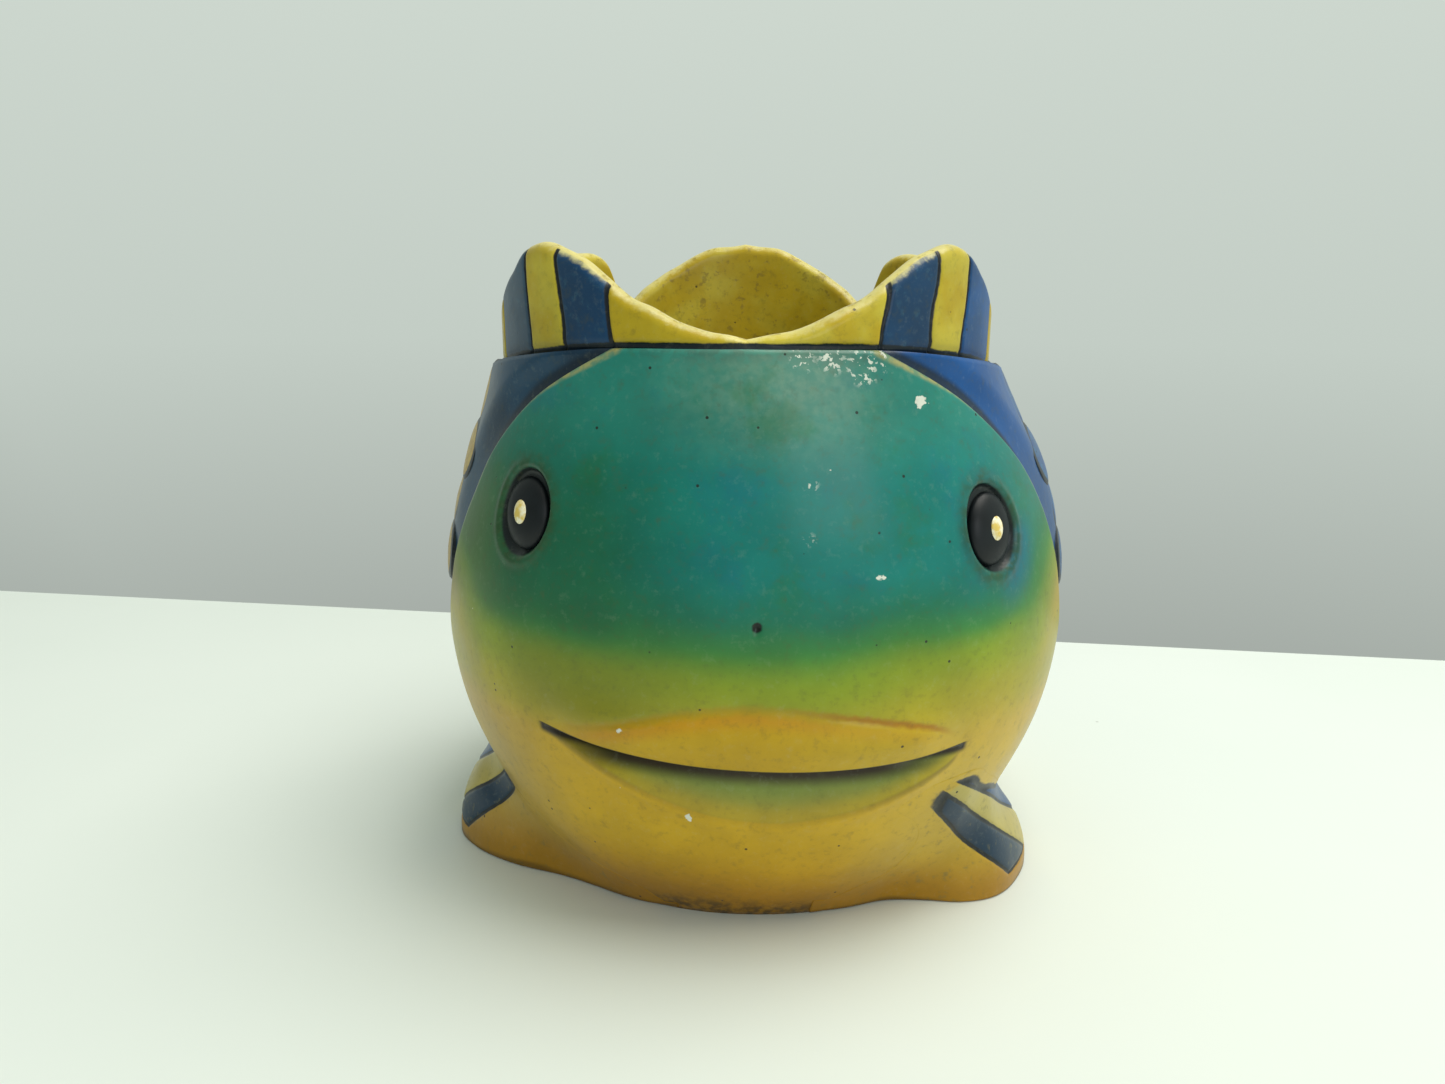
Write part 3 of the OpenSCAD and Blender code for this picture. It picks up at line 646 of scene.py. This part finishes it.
ring_x, ring_y = ring_r * np.sin(np.radians(ring_a)) + collar_x, -ring_r * np.cos(np.radians(ring_a))
points = np.stack([ring_x, ring_y, ring_z], -1)
collar = build_mesh("fin_collar_cast", points * MM, grid_faces(turns, ring_r.shape[1], wrap=True), {
    "stripe": stripe, "angle": ring_a + 0 * ring_z, "outer": outer,
    "below_top": top_z - ring_z, "above_foot": ring_z - foot_z})
ring_mesh = bmesh.new()
ring_mesh.from_mesh(collar.data)
ring_mesh.verts.ensure_lookup_table()
cols = ring_r.shape[1]
first, final = 0, (turns - 1) * cols
for k in range(cols):
    ring_mesh.faces.new([ring_mesh.verts[i] for i in (final + k, final + (k + 1) % cols, (k + 1) % cols, k)])
bmesh.ops.recalc_face_normals(ring_mesh, faces=ring_mesh.faces)
ring_mesh.to_mesh(collar.data)
ring_mesh.free()
collar.data.polygons.foreach_set("use_smooth", [True] * len(collar.data.polygons))


def collar_colours(t, spot):
    stripe, angle, outer, below_top, above_foot = (
        add(t, "Attribute", attribute_name=name).outputs["Fac"]
        for name in ("stripe", "angle", "outer", "below_top", "above_foot"))
    fine = add(t, "TexNoise", {"Vector": spot, "Scale": 520.0, "Detail": 4.0, "Roughness": 0.65})
    fine = fine.outputs["Fac"]
    patch = add(t, "TexNoise", {"Vector": spot, "Scale": 110.0, "Detail": 3.0}).outputs["Fac"]
    yellow = coat(t, "#bfa418", "#cab838", (patch, 0.4, 0.65))
    # the two front stripes are teal-blue, the next one on the left grey, partly worn and partly painted
    # shade, and the rest brighter blue
    around = add(t, "Math", {0: angle}, operation="ABSOLUTE").outputs[0]
    dark = coat(t, "#083e66", "#0c4f8c", (around, 45, 48))
    dark = coat(t, dark, "#47585c", (angle, -46, -48, 0.0, 0.75))
    dark = coat(t, dark, "#123049", (patch, 0.35, 0.7, 0.0, 0.4))
    dark = coat(t, dark, "#3a6880", (fine, 0.55, 0.72, 0.0, 0.35))
    outside = (outer, 0.35, 0.6)
    colour = coat(t, yellow, dark, (stripe, -0.1, 0.1), outside)
    # the rubbed lip, the grubby inside, then the cut lines filled with dark paint
    rub = add(t, "Math", {0: fine, 1: 2.4, 2: below_top}, operation="MULTIPLY_ADD").outputs[0]
    colour = coat(t, colour, "#d9cf86", (rub, 2.3, 1.1, 0.0, 0.85))
    colour = coat(t, colour, "#84702c", (outer, 0.4, 0.1), (fine, 0.55, 0.66, 0.0, 0.55))
    colour = coat(t, colour, "#101820", (cut_line(t, fine, stripe), 0.62, 0.42), outside)
    base = add(t, "Math", {0: fine, 1: 0.6, 2: above_foot}, operation="MULTIPLY_ADD").outputs[0]
    return coat(t, colour, "#0d1c24", (base, 1.35, 1.05), outside)


collar.data.materials.append(painted_resin("striped_worn_resin", collar_colours, speck=0.9, shine=0.42))
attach(collar, "fish")
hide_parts("fin_collar")


# ---------------------------------------------------------------------------------------------------------
# Eyes: oval black glass-like domes set in sockets, each with a small cream bead of paint as its pupil.
# The domes are cast in and lacquered, so they are the glossiest things on the face.


def on_face(side):
    """The eye's middle, and the directions along, up and out of the skin there, in millimetres."""
    a, z = eye_places[side]
    middle = place(np.array(a), skin(a, z), np.array(z)) / MM
    along = place(np.array(a + 1.0), skin(a + 1, z), np.array(z)) / MM - middle
    rise = place(np.array(a), skin(a, z + 1), np.array(z + 1.0)) / MM - middle
    out = np.cross(along, rise)
    out /= np.linalg.norm(out)
    rise /= np.linalg.norm(rise)
    along = np.cross(rise, out)
    c, s = math.cos(math.radians(eye_lean)), -side * math.sin(math.radians(eye_lean))
    return middle, along * c + rise * s, rise * c - along * s, out


def dome(middle, along, rise, out, wide, tall, sink, swell, rings=26, spokes=72):
    """A closed oval bead: a domed top, a rolled side, and a flat back sunk into what holds it."""
    w = np.radians(np.linspace(0, 360, spokes, endpoint=False))[:, None]
    rows = [(r, -sink + (sink + swell) * math.sqrt(1 - r**2.6)) for r in np.linspace(1, 0, rings)[:-1]]
    pts = [middle + wide * r * np.cos(w) * along + tall * r * np.sin(w) * rise + lift * out
           for r, lift in rows]
    pts = np.concatenate(pts + [[middle + swell * out], [middle - sink * out]])
    n = rings - 1
    faces = grid_faces(n, spokes, wrap=True)
    faces += [((n - 1) * spokes + k, (n - 1) * spokes + (k + 1) % spokes, n * spokes) for k in range(spokes)]
    faces += [((k + 1) % spokes, k, n * spokes + 1) for k in range(spokes)]
    return pts * MM, faces


# Black lacquer, brushed on thick: a deep gloss with fine scratches and a dull film of dust.
eye_lacquer = new_material("black_lacquer")
t = eye_lacquer.node_tree
spot = add(t, "TexCoord").outputs["Object"]
film = add(t, "TexNoise", {"Vector": spot, "Scale": 420.0, "Detail": 4.0}).outputs["Fac"]
tone = add(t, "Mix", {0: film, 6: paint("#05090c"), 7: paint("#0e181d")}, data_type="RGBA").outputs[2]
dull = add(t, "MapRange", {0: film, 1: 0.3, 2: 0.7, 3: 0.4, 4: 0.55}).outputs[0]
lacquer = add(t, "BsdfPrincipled", {
    "Base Color": tone, "Roughness": dull, "IOR": 1.5, "Specular IOR Level": 0.3, "Coat Weight": 0.1,
    "Coat Roughness": 0.3})
add(t, "OutputMaterial", {"Surface": lacquer.outputs[0]})

# Cream enamel dotted on with a round brush: a raised bead, yellower at one edge.
cream_enamel = new_material("cream_enamel")
t = cream_enamel.node_tree
spot = add(t, "TexCoord").outputs["Object"]
streak = add(t, "TexNoise", {"Vector": spot, "Scale": 700.0, "Detail": 3.0}).outputs["Fac"]
streak = add(t, "MapRange", {0: streak, 1: 0.42, 2: 0.6}).outputs[0]
tone = add(t, "Mix", {0: streak, 6: paint("#fbf4d4"), 7: paint("#e6c864")}, data_type="RGBA").outputs[2]
enamel = add(t, "BsdfPrincipled", {"Base Color": tone, "Roughness": 0.35, "IOR": 1.5})
add(t, "OutputMaterial", {"Surface": enamel.outputs[0]})

for side, which in ((-1, "left"), (1, "right")):
    middle, along, rise, out = on_face(side)
    black = build_mesh("eye_dome_" + which, *dome(middle, along, rise, out, 4.8, 6.0, 1.6, 0.6))
    black.data.materials.append(eye_lacquer)
    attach(black, "fish")
    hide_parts("eye_" + which)
    bead = build_mesh("pupil_bead_" + which, *dome(middle + 0.45 * out, along, rise, out, 1.5, 2.1, 0.3, 0.6,
                                                 rings=12, spokes=36))
    bead.data.materials.append(cream_enamel)
    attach(bead, "fish")
    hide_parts("pupil_" + which)


# ---------------------------------------------------------------------------------------------------------
# Side fins: stubby fins cast low on each side, which spread forward on the table like feet and run smoothly
# into the belly. Yellow, with hand-painted navy and blue bands cut in on the tops.

fin_reach = {
    1: [(20, 34), (26, 35.5), (36, 38), (45, 44.5), (50, 49.5), (56, 53.3), (64, 54.8), (75, 55), (85, 52.5),
        (93, 47), (102, 38), (112, 28)],
    -1: [(24, 33), (30, 35.5), (45, 39), (56, 43.5), (66, 50), (74, 55), (82, 58.3), (90, 57.8), (98, 53.5),
         (106, 47), (114, 38), (124, 28)],
}
fin_top = {1: 16, -1: 20}
fin_drop = {1: [(16, -3), (36, -4), (44, -3.5), (50, 0), (56, 2.5), (64, 6), (75, 10), (114, 10)],
            -1: [(20, 0), (50, 2), (60, 6), (70, 8.5), (126, 8.5)]}
# the bands fan out from a point on the flank: degrees of skin turned to mm, that point, and each band's swing
fin_fan = {1: (0.87, (13.4, 40.7), (-43.7, -37.3), (-31, -24)), -1: (0.95, (35, 45), (-47, -41), (-34, -28))}
fillet = 6.5


def fin_surface(a, z, side):
    fin = curve(fin_reach[side], np.abs(a)) - curve(fin_drop[side], np.abs(a)) * (z / fin_top[side]) ** 2.3
    base = skin(a, z)
    near = np.maximum(fillet - np.abs(base - fin), 0) / fillet
    lift = np.maximum(fin - base, 0) + near * near * fillet / 4
    return base + lift * (1 - ease((z - 17) / 13))


def fin_colours(t, spot):
    angle, navy_band, blue_band, pale_band = (
        add(t, "Attribute", attribute_name=name).outputs["Fac"]
        for name in ("angle", "navy_band", "blue_band", "pale_band"))
    fine = add(t, "TexNoise", {"Vector": spot, "Scale": 620.0, "Detail": 4.0}).outputs["Fac"]
    _, z = wavering_height(t, spot, 34.0, 2.0)
    # the same yellows as the face, so that the root doesn't show, with its painted shade towards the table
    # and its painted highlight to the right
    colour = coat(t, "#8a5c00", "#b88a02", (z, 1, 9))
    colour = coat(t, colour, "#caa20c", (z, 6, 22))
    colour = coat(t, colour, "#bfa045", (angle, -28, -56))
    # painted highlight: paler to the right
    colour = coat(t, colour, "#c6a838", (angle, 12, 40, 0.0, 0.7))
    # painted shade: darker towards the table
    colour = coat(t, colour, "#a87804", (z, 14, 2, 0.0, 0.9))
    # the bands, rubbed a little, then the dark lines cut round them
    colour = coat(t, colour, "#b9a955", (pale_band, -0.15, 0.15))
    colour = coat(t, colour, "#0a2f48", (navy_band, -0.15, 0.15))
    colour = coat(t, colour, "#0c4478", (blue_band, -0.15, 0.15))
    colour = coat(t, colour, "#8d8350", (fine, 0.6, 0.72, 0.0, 0.3))
    for band in (navy_band, blue_band):
        colour = coat(t, colour, "#0e161c", (cut_line(t, fine, band), 0.6, 0.4))
    # painted shade where the fin meets the table
    return coat(t, colour, "#4a360f", (z, 1.2, 0.2, 0.0, 0.6))


fin_resin = painted_resin("banded_varnished_resin", fin_colours)
for side, which in ((1, "right"), (-1, "left")):
    first, last = fin_reach[side][0][0] - 4, fin_reach[side][-1][0] + 2
    a_run = side * np.linspace(first, last, 300)[:, None]
    z_run = np.linspace(0.2, 32, 160)[None, :] + 0 * a_run
    reach = fin_surface(a_run, z_run, side)
    dip = 0.06 + 3.6 * ease(1 - (reach - skin(a_run, z_run)) / 0.1)
    shell = reach - dip
    per_degree, (cx, cz), navy, blue = fin_fan[side]
    ax, az = np.abs(a_run) * per_degree - cx, z_run - cz
    swing, arm = np.degrees(np.arctan2(az, ax)), np.hypot(ax, az)
    proud = np.minimum(z_run - 3.2, (reach - skin(a_run, z_run) - 0.5) * 2)
    navy_gap, blue_gap = (np.minimum(np.radians(np.minimum(swing - low, high - swing)) * arm, proud)
                          for low, high in (navy, blue))
    pale_gap = np.minimum(np.radians(np.minimum(swing - navy[1], blue[0] - swing)) * arm, proud)
    cut = 0.3 * (bell(navy_gap / 0.4) + bell(blue_gap / 0.4))
    shell = shell - cut
    back = skin(a_run, z_run) - 4.5
    points = np.concatenate([place(a_run, shell, z_run), place(a_run, back, z_run)[:, ::-1]], 1)
    loop = points.shape[1]
    faces = grid_faces(points.shape[0], loop, wrap=True)
    rows_per = z_run.shape[1]
    for row, flip in ((0, 1), (points.shape[0] - 1, -1)):
        near, far = row * loop, row * loop + loop - 1
        faces += [(near + k, near + k + 1, far - 1 - k, far - k)[::flip] for k in range(rows_per - 1)]
    bands = [np.concatenate([v, np.full(v.shape, -9.0)], 1) for v in (navy_gap, blue_gap, pale_gap)]
    fin = build_mesh("side_fin_" + which, points, faces,
                     {"navy_band": bands[0], "blue_band": bands[1], "pale_band": bands[2],
                      "angle": np.tile(a_run, (1, loop))})
    fin.data.materials.append(fin_resin)
    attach(fin, "fish")
    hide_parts("pectoral_fin_" + which)


# ---------------------------------------------------------------------------------------------------------
# Tail: cast on the back of the pot, a short stalk that opens into an upper and a lower lobe. Its bands run
# out from the stalk and match the collar's.

tail_path = {
    "stalk": ([(54, 57, 9), (60, 56.5, 8), (65, 56, 7), (70, 56, 6.5)], [6.5, 5.6, 5, 4.6]),
    "upper": ([(64, 57, 7), (72, 64, 8.5), (77, 74, 9), (79.5, 84, 6), (80.5, 90.5, 2.2)],
              [5, 4.5, 3.9, 3.2, 1.6]),
    "lower": ([(64, 55, 7), (71, 49.5, 8), (75.5, 43, 7.5), (78, 37.5, 5), (79, 33, 1.8)],
              [5, 4.5, 3.9, 3.2, 1.6]),
}
root = (60.0, 56.5)
round_steps = 48

shells = bmesh.new()
for middles, thick in tail_path.values():
    m = np.array(middles, float)
    grown = np.linspace(0, len(m) - 1, 30)
    steps = list(range(len(m)))
    y, z, wide, deep = (curve(list(zip(steps, v)), grown) for v in (m[:, 0], m[:, 1], m[:, 2], thick))
    along = np.stack([np.gradient(y), np.gradient(z)], -1)
    along /= np.linalg.norm(along, axis=1)[:, None]
    w = np.radians(np.linspace(0, 360, round_steps, endpoint=False))
    px = deep[:, None] * np.sign(np.sin(w)) * np.abs(np.sin(w)) ** 0.9
    off = wide[:, None] * np.cos(w)
    py, pz = y[:, None] - along[:, 1:] * off, z[:, None] + along[:, :1] * off
    ring = np.stack([px, py, pz], -1)
    verts = [[shells.verts.new(p) for p in r] for r in ring * MM]
    for lower, higher in zip(verts, verts[1:]):
        for k in range(round_steps):
            beside = (k + 1) % round_steps
            shells.faces.new([lower[k], lower[beside], higher[beside], higher[k]])
    shells.faces.new(verts[0][::-1])
    shells.faces.new(verts[-1])
bmesh.ops.recalc_face_normals(shells, faces=shells.faces)
rough_tail = bpy.data.meshes.new("tail_rough")
shells.to_mesh(rough_tail)
shells.free()
tail = bpy.data.objects.new("tail_cast", rough_tail)
bpy.context.collection.objects.link(tail)
fuse = tail.modifiers.new("fuse", "REMESH")
fuse.mode, fuse.voxel_size, fuse.use_smooth_shade = "VOXEL", 0.0005, True
soften = tail.modifiers.new("soften", "SMOOTH")
soften.factor, soften.iterations = 0.5, 14
fused = bpy.data.meshes.new_from_object(tail.evaluated_get(bpy.context.evaluated_depsgraph_get()))
tail.modifiers.clear()
tail.data = fused
co = np.empty(len(fused.vertices) * 3, np.float32)
fused.vertices.foreach_get("co", co)
co = co.reshape(-1, 3) / MM
out_y, out_z = co[:, 1] - root[0], co[:, 2] - root[1]
arm, swing = np.hypot(out_y, out_z), np.abs(np.degrees(np.arctan2(out_z, out_y)))
tail_bands = np.max([np.minimum(swing - a, b - swing) for a, b in ((26, 42), (56, 71))], 0)
band = np.minimum(np.radians(tail_bands) * arm, arm - 9)
fused.attributes.new("band", "FLOAT", "POINT").data.foreach_set("value", band.astype(np.float32))
normals = np.empty(len(fused.vertices) * 3, np.float32)
fused.vertices.foreach_get("normal", normals)
co = (co - 0.28 * bell(band / 0.45)[:, None] * normals.reshape(-1, 3)) * MM
fused.vertices.foreach_set("co", co.ravel().astype(np.float32))
fused.update()


def tail_colours(t, spot):
    band = add(t, "Attribute", attribute_name="band").outputs["Fac"]
    fine = add(t, "TexNoise", {"Vector": spot, "Scale": 620.0, "Detail": 4.0}).outputs["Fac"]
    y = add(t, "SeparateXYZ", {0: spot}).outputs["Y"]
    y = add(t, "Math", {0: y, 1: 1000.0}, operation="MULTIPLY").outputs[0]
    colour = coat(t, "#1c5d96", "#c9b640", (y, 58, 65))
    colour = coat(t, colour, "#1f568a", (band, -0.15, 0.15))
    colour = coat(t, colour, "#8d8350", (fine, 0.58, 0.72, 0.0, 0.45))
    return coat(t, colour, "#0e161c", (cut_line(t, fine, band), 0.6, 0.4))


tail.data.materials.append(painted_resin("banded_tail_resin", tail_colours))
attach(tail, "fish")
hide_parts("tail_fin")


# ---------------------------------------------------------------------------------------------------------
# Scales: rounded scales raised on each flank, in six rows that follow the gill edge and break joint. Each
# has a brushed gold or blue middle and a dark line painted round its edge.

scale_long, scale_tall, scale_up, scale_root = 7.3, 6.0, 1.5, 2.4
foremost, from_gill, pitch_a, lowest_row, pitch_z = 78, 12, 11, 40, 9.5
crown_share = 0.55
rings, spokes = 14, 36


def scale_colours(t, spot, middle, dry):
    fine = add(t, "TexNoise", {"Vector": spot, "Scale": 520.0, "Detail": 4.0}).outputs["Fac"]
    edge = add(t, "Attribute", attribute_name="from_edge").outputs["Fac"]
    edge = add(t, "Math", {0: fine, 1: -0.8, 2: edge}, operation="MULTIPLY_ADD").outputs[0]
    colour = coat(t, middle, dry, (fine, 0.42, 0.62))
    return coat(t, colour, "#101c26", (edge, 1.0, 0.7))


scale_paint = {
    -1: painted_resin("gold_scale_resin", lambda t, spot: scale_colours(t, spot, "#b8963a", "#c6a850"),
                      shine=0.36),
    1: painted_resin("blue_scale_resin", lambda t, spot: scale_colours(t, spot, "#0a4884", "#1f5c8c"),
                     shine=0.36),
}
for side, which in ((-1, "left"), (1, "right")):
    points, faces, from_edge = [], [], []
    for row in range(6):
        for i in range(5):
            z0 = lowest_row + pitch_z * row
            a0 = side * (max(foremost, gill(z0) + from_gill) + pitch_a * (i + (row % 2) / 2))
            s = np.linspace(1, 0, rings, endpoint=False)[:, None] ** 0.8
            w = np.radians(np.linspace(0, 360, spokes, endpoint=False))[None, :]
            # each scale tips outward toward the tail and tucks its front edge under the one before
            u, v = side * scale_long * s * np.cos(w), scale_tall * s * np.sin(w)
            rise = scale_up * (crown_share + (1 - crown_share) * s * np.cos(w)) * (1 - s**5) ** 0.6 - 0.25 * s
            a = a0 + np.degrees(u / skin(a0, z0))
            start = sum(len(p) for p in points)
            top = place(a, skin(a, z0 + v) + rise - 0.05, z0 + v).reshape(-1, 3)
            low = place(a[:1], skin(a[:1], z0 + v[:1]) - scale_root, z0 + v[:1]).reshape(-1, 3)
            tip = place(np.array([a0]), skin(a0, z0) + crown_share * scale_up - 0.05, np.array([z0]))
            heel = place(np.array([a0]), skin(a0, z0) - scale_root, np.array([z0]))
            points.append(np.concatenate([low, top, tip, heel]))
            inwards = scale_tall * (1 - s) + 0 * w
            from_edge.append(np.concatenate([np.full(spokes, -1), inwards.ravel(), [scale_tall, -1]]))
            faces += grid_faces(rings + 1, spokes, wrap=True, start=start)
            crown, base = start + rings * spokes, start + (rings + 1) * spokes
            faces += [(crown + k, crown + (k + 1) % spokes, base) for k in range(spokes)]
            faces += [(start + (k + 1) % spokes, start + k, base + 1) for k in range(spokes)]
    scale_set = build_mesh("scale_rows_" + which, np.concatenate(points), faces,
                           {"from_edge": np.concatenate(from_edge)})
    scale_set.data.materials.append(scale_paint[side])
    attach(scale_set, "fish")
    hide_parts("scales_" + which)


# ---------------------------------------------------------------------------------------------------------
# Air line: a moulded nylon inlet, nut and elbow, with a rubber gasket and a rubber foot under the elbow.
# These are the stock fittings as they come from the mould, so the frame's own shapes are shown.


def moulded(name, colour, worn, grain_mm, roughness, bump):
    """Moulded plastic or rubber: a fine spark-eroded grain, faint scuffs and a little water scale."""
    m = new_material(name)
    t = m.node_tree
    spot = add(t, "TexCoord").outputs["Object"]
    grain = add(t, "TexNoise", {"Vector": spot, "Scale": 1000 / grain_mm, "Detail": 3.0}).outputs["Fac"]
    scuff = add(t, "TexNoise", {"Vector": spot, "Scale": 160.0, "Detail": 5.0, "Roughness": 0.7})
    scuff = scuff.outputs["Fac"]
    mask = add(t, "MapRange", {0: scuff, 1: 0.5, 2: 0.75}).outputs[0]
    tone = add(t, "Mix", {0: mask, 6: paint(colour), 7: paint(worn)}, data_type="RGBA").outputs[2]
    rough = {0: scuff, 1: 0.3, 2: 0.7, 3: roughness - 0.08, 4: roughness + 0.12}
    rough = add(t, "MapRange", rough).outputs[0]
    relief = add(t, "Bump", {"Height": grain, "Strength": bump, "Distance": 0.0001})
    body = add(t, "BsdfPrincipled", {"Base Color": tone, "Roughness": rough, "IOR": 1.5,
                                     "Normal": relief.outputs[0]})
    add(t, "OutputMaterial", {"Surface": body.outputs[0]})
    return m


def finish_node(name, material):
    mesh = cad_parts[name].data
    mesh.materials.clear()
    mesh.materials.append(material)


black_nylon = moulded("black_moulded_nylon", "#23272b", "#4b5054", 0.35, 0.42, 0.35)
soft_rubber = moulded("black_moulded_rubber", "#1a1b1c", "#3a3b3a", 0.5, 0.62, 0.5)
white_abs = moulded("white_moulded_ABS", "#e4e4de", "#cfcdbc", 0.4, 0.38, 0.25)
for name in ("air_inlet", "inlet_nut", "air_elbow"):
    finish_node(name, black_nylon)
for name in ("inlet_gasket", "elbow_foot"):
    finish_node(name, soft_rubber)


# ---------------------------------------------------------------------------------------------------------
# Air stone: a cylinder of fused mineral grit on a white ABS stem, which lifts out of the elbow's socket.
# The grit is 0.5 to 1 mm, so the surface is pitted all over and its two edges are crumbled.

finish_node("stone_stem", white_abs)

(low_x, _, low_z), (high_x, _, high_z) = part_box("air_stone")
stone_r, stone_low, stone_high = (high_x - low_x) / 2 / MM, low_z / MM, high_z / MM
around = 220
edge_r = 1.6
corner = np.radians(np.linspace(0, 90, 8))
flat_r, foot, head = stone_r - edge_r, stone_low + edge_r, stone_high - edge_r
profile = [(r, stone_low) for r in np.linspace(0.6, flat_r, 14)]
profile += [(flat_r + edge_r * math.sin(c), foot - edge_r * math.cos(c)) for c in corner[1:]]
profile += [(stone_r, z) for z in np.linspace(foot, head, 66)[1:-1]]
profile += [(flat_r + edge_r * math.cos(c), head + edge_r * math.sin(c)) for c in corner]
profile += [(r, stone_high) for r in np.linspace(flat_r, 0.6, 14)[1:]]
points = []
for r, z in profile:
    for k in range(around):
        c = 2 * math.pi * k / around
        p = Vector((r * math.cos(c), r * math.sin(c), z))
        pit = noise.noise(p * 1.1) * 0.24 + noise.noise(p * 0.45) * 0.14 - 0.3
        on_side = r > flat_r - 0.1
        inward = Vector((-math.cos(c) * on_side, -math.sin(c) * on_side,
                         (z < stone_low + 0.6) * 1.0 - (z > stone_high - 0.6) * 1.0))
        points.append(p - inward.normalized() * pit if inward.length else p)
points += [Vector((0, 0, stone_low + 0.3)), Vector((0, 0, stone_high - 0.3))]
rows = len(profile)
faces = grid_faces(rows, around, wrap=True)
faces += [((k + 1) % around, k, rows * around) for k in range(around)]
last = (rows - 1) * around
faces += [(last + k, last + (k + 1) % around, rows * around + 1) for k in range(around)]
stone = build_mesh("grit_stone", np.array(points) * MM, faces)

# Bonded blue-grey grit: each grain its own shade, dark in the pits between them, quite matt.
bonded_grit = new_material("bonded_blue_grit")
t = bonded_grit.node_tree
spot = add(t, "TexCoord").outputs["Object"]
grains = add(t, "TexVoronoi", {"Vector": spot, "Scale": 1300.0})
shade = add(t, "SeparateColor", {0: grains.outputs["Color"]}).outputs[0]
tone = add(t, "Mix", {0: shade, 6: paint("#3f6190"), 7: paint("#86a0bf")}, data_type="RGBA").outputs[2]
pit = add(t, "MapRange", {0: grains.outputs["Distance"], 1: 0.35, 2: 0.7}).outputs[0]
tone = add(t, "Mix", {0: pit, 6: tone, 7: paint("#26374f")}, data_type="RGBA").outputs[2]
relief = add(t, "Bump", {"Height": grains.outputs["Distance"], "Strength": 0.8, "Distance": -0.0004})
grit = add(t, "BsdfPrincipled", {"Base Color": tone, "Roughness": 0.85, "IOR": 1.52,
                                 "Normal": relief.outputs[0]})
add(t, "OutputMaterial", {"Surface": grit.outputs[0]})
stone.data.materials.append(bonded_grit)
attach(stone, "stone")
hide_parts("air_stone")
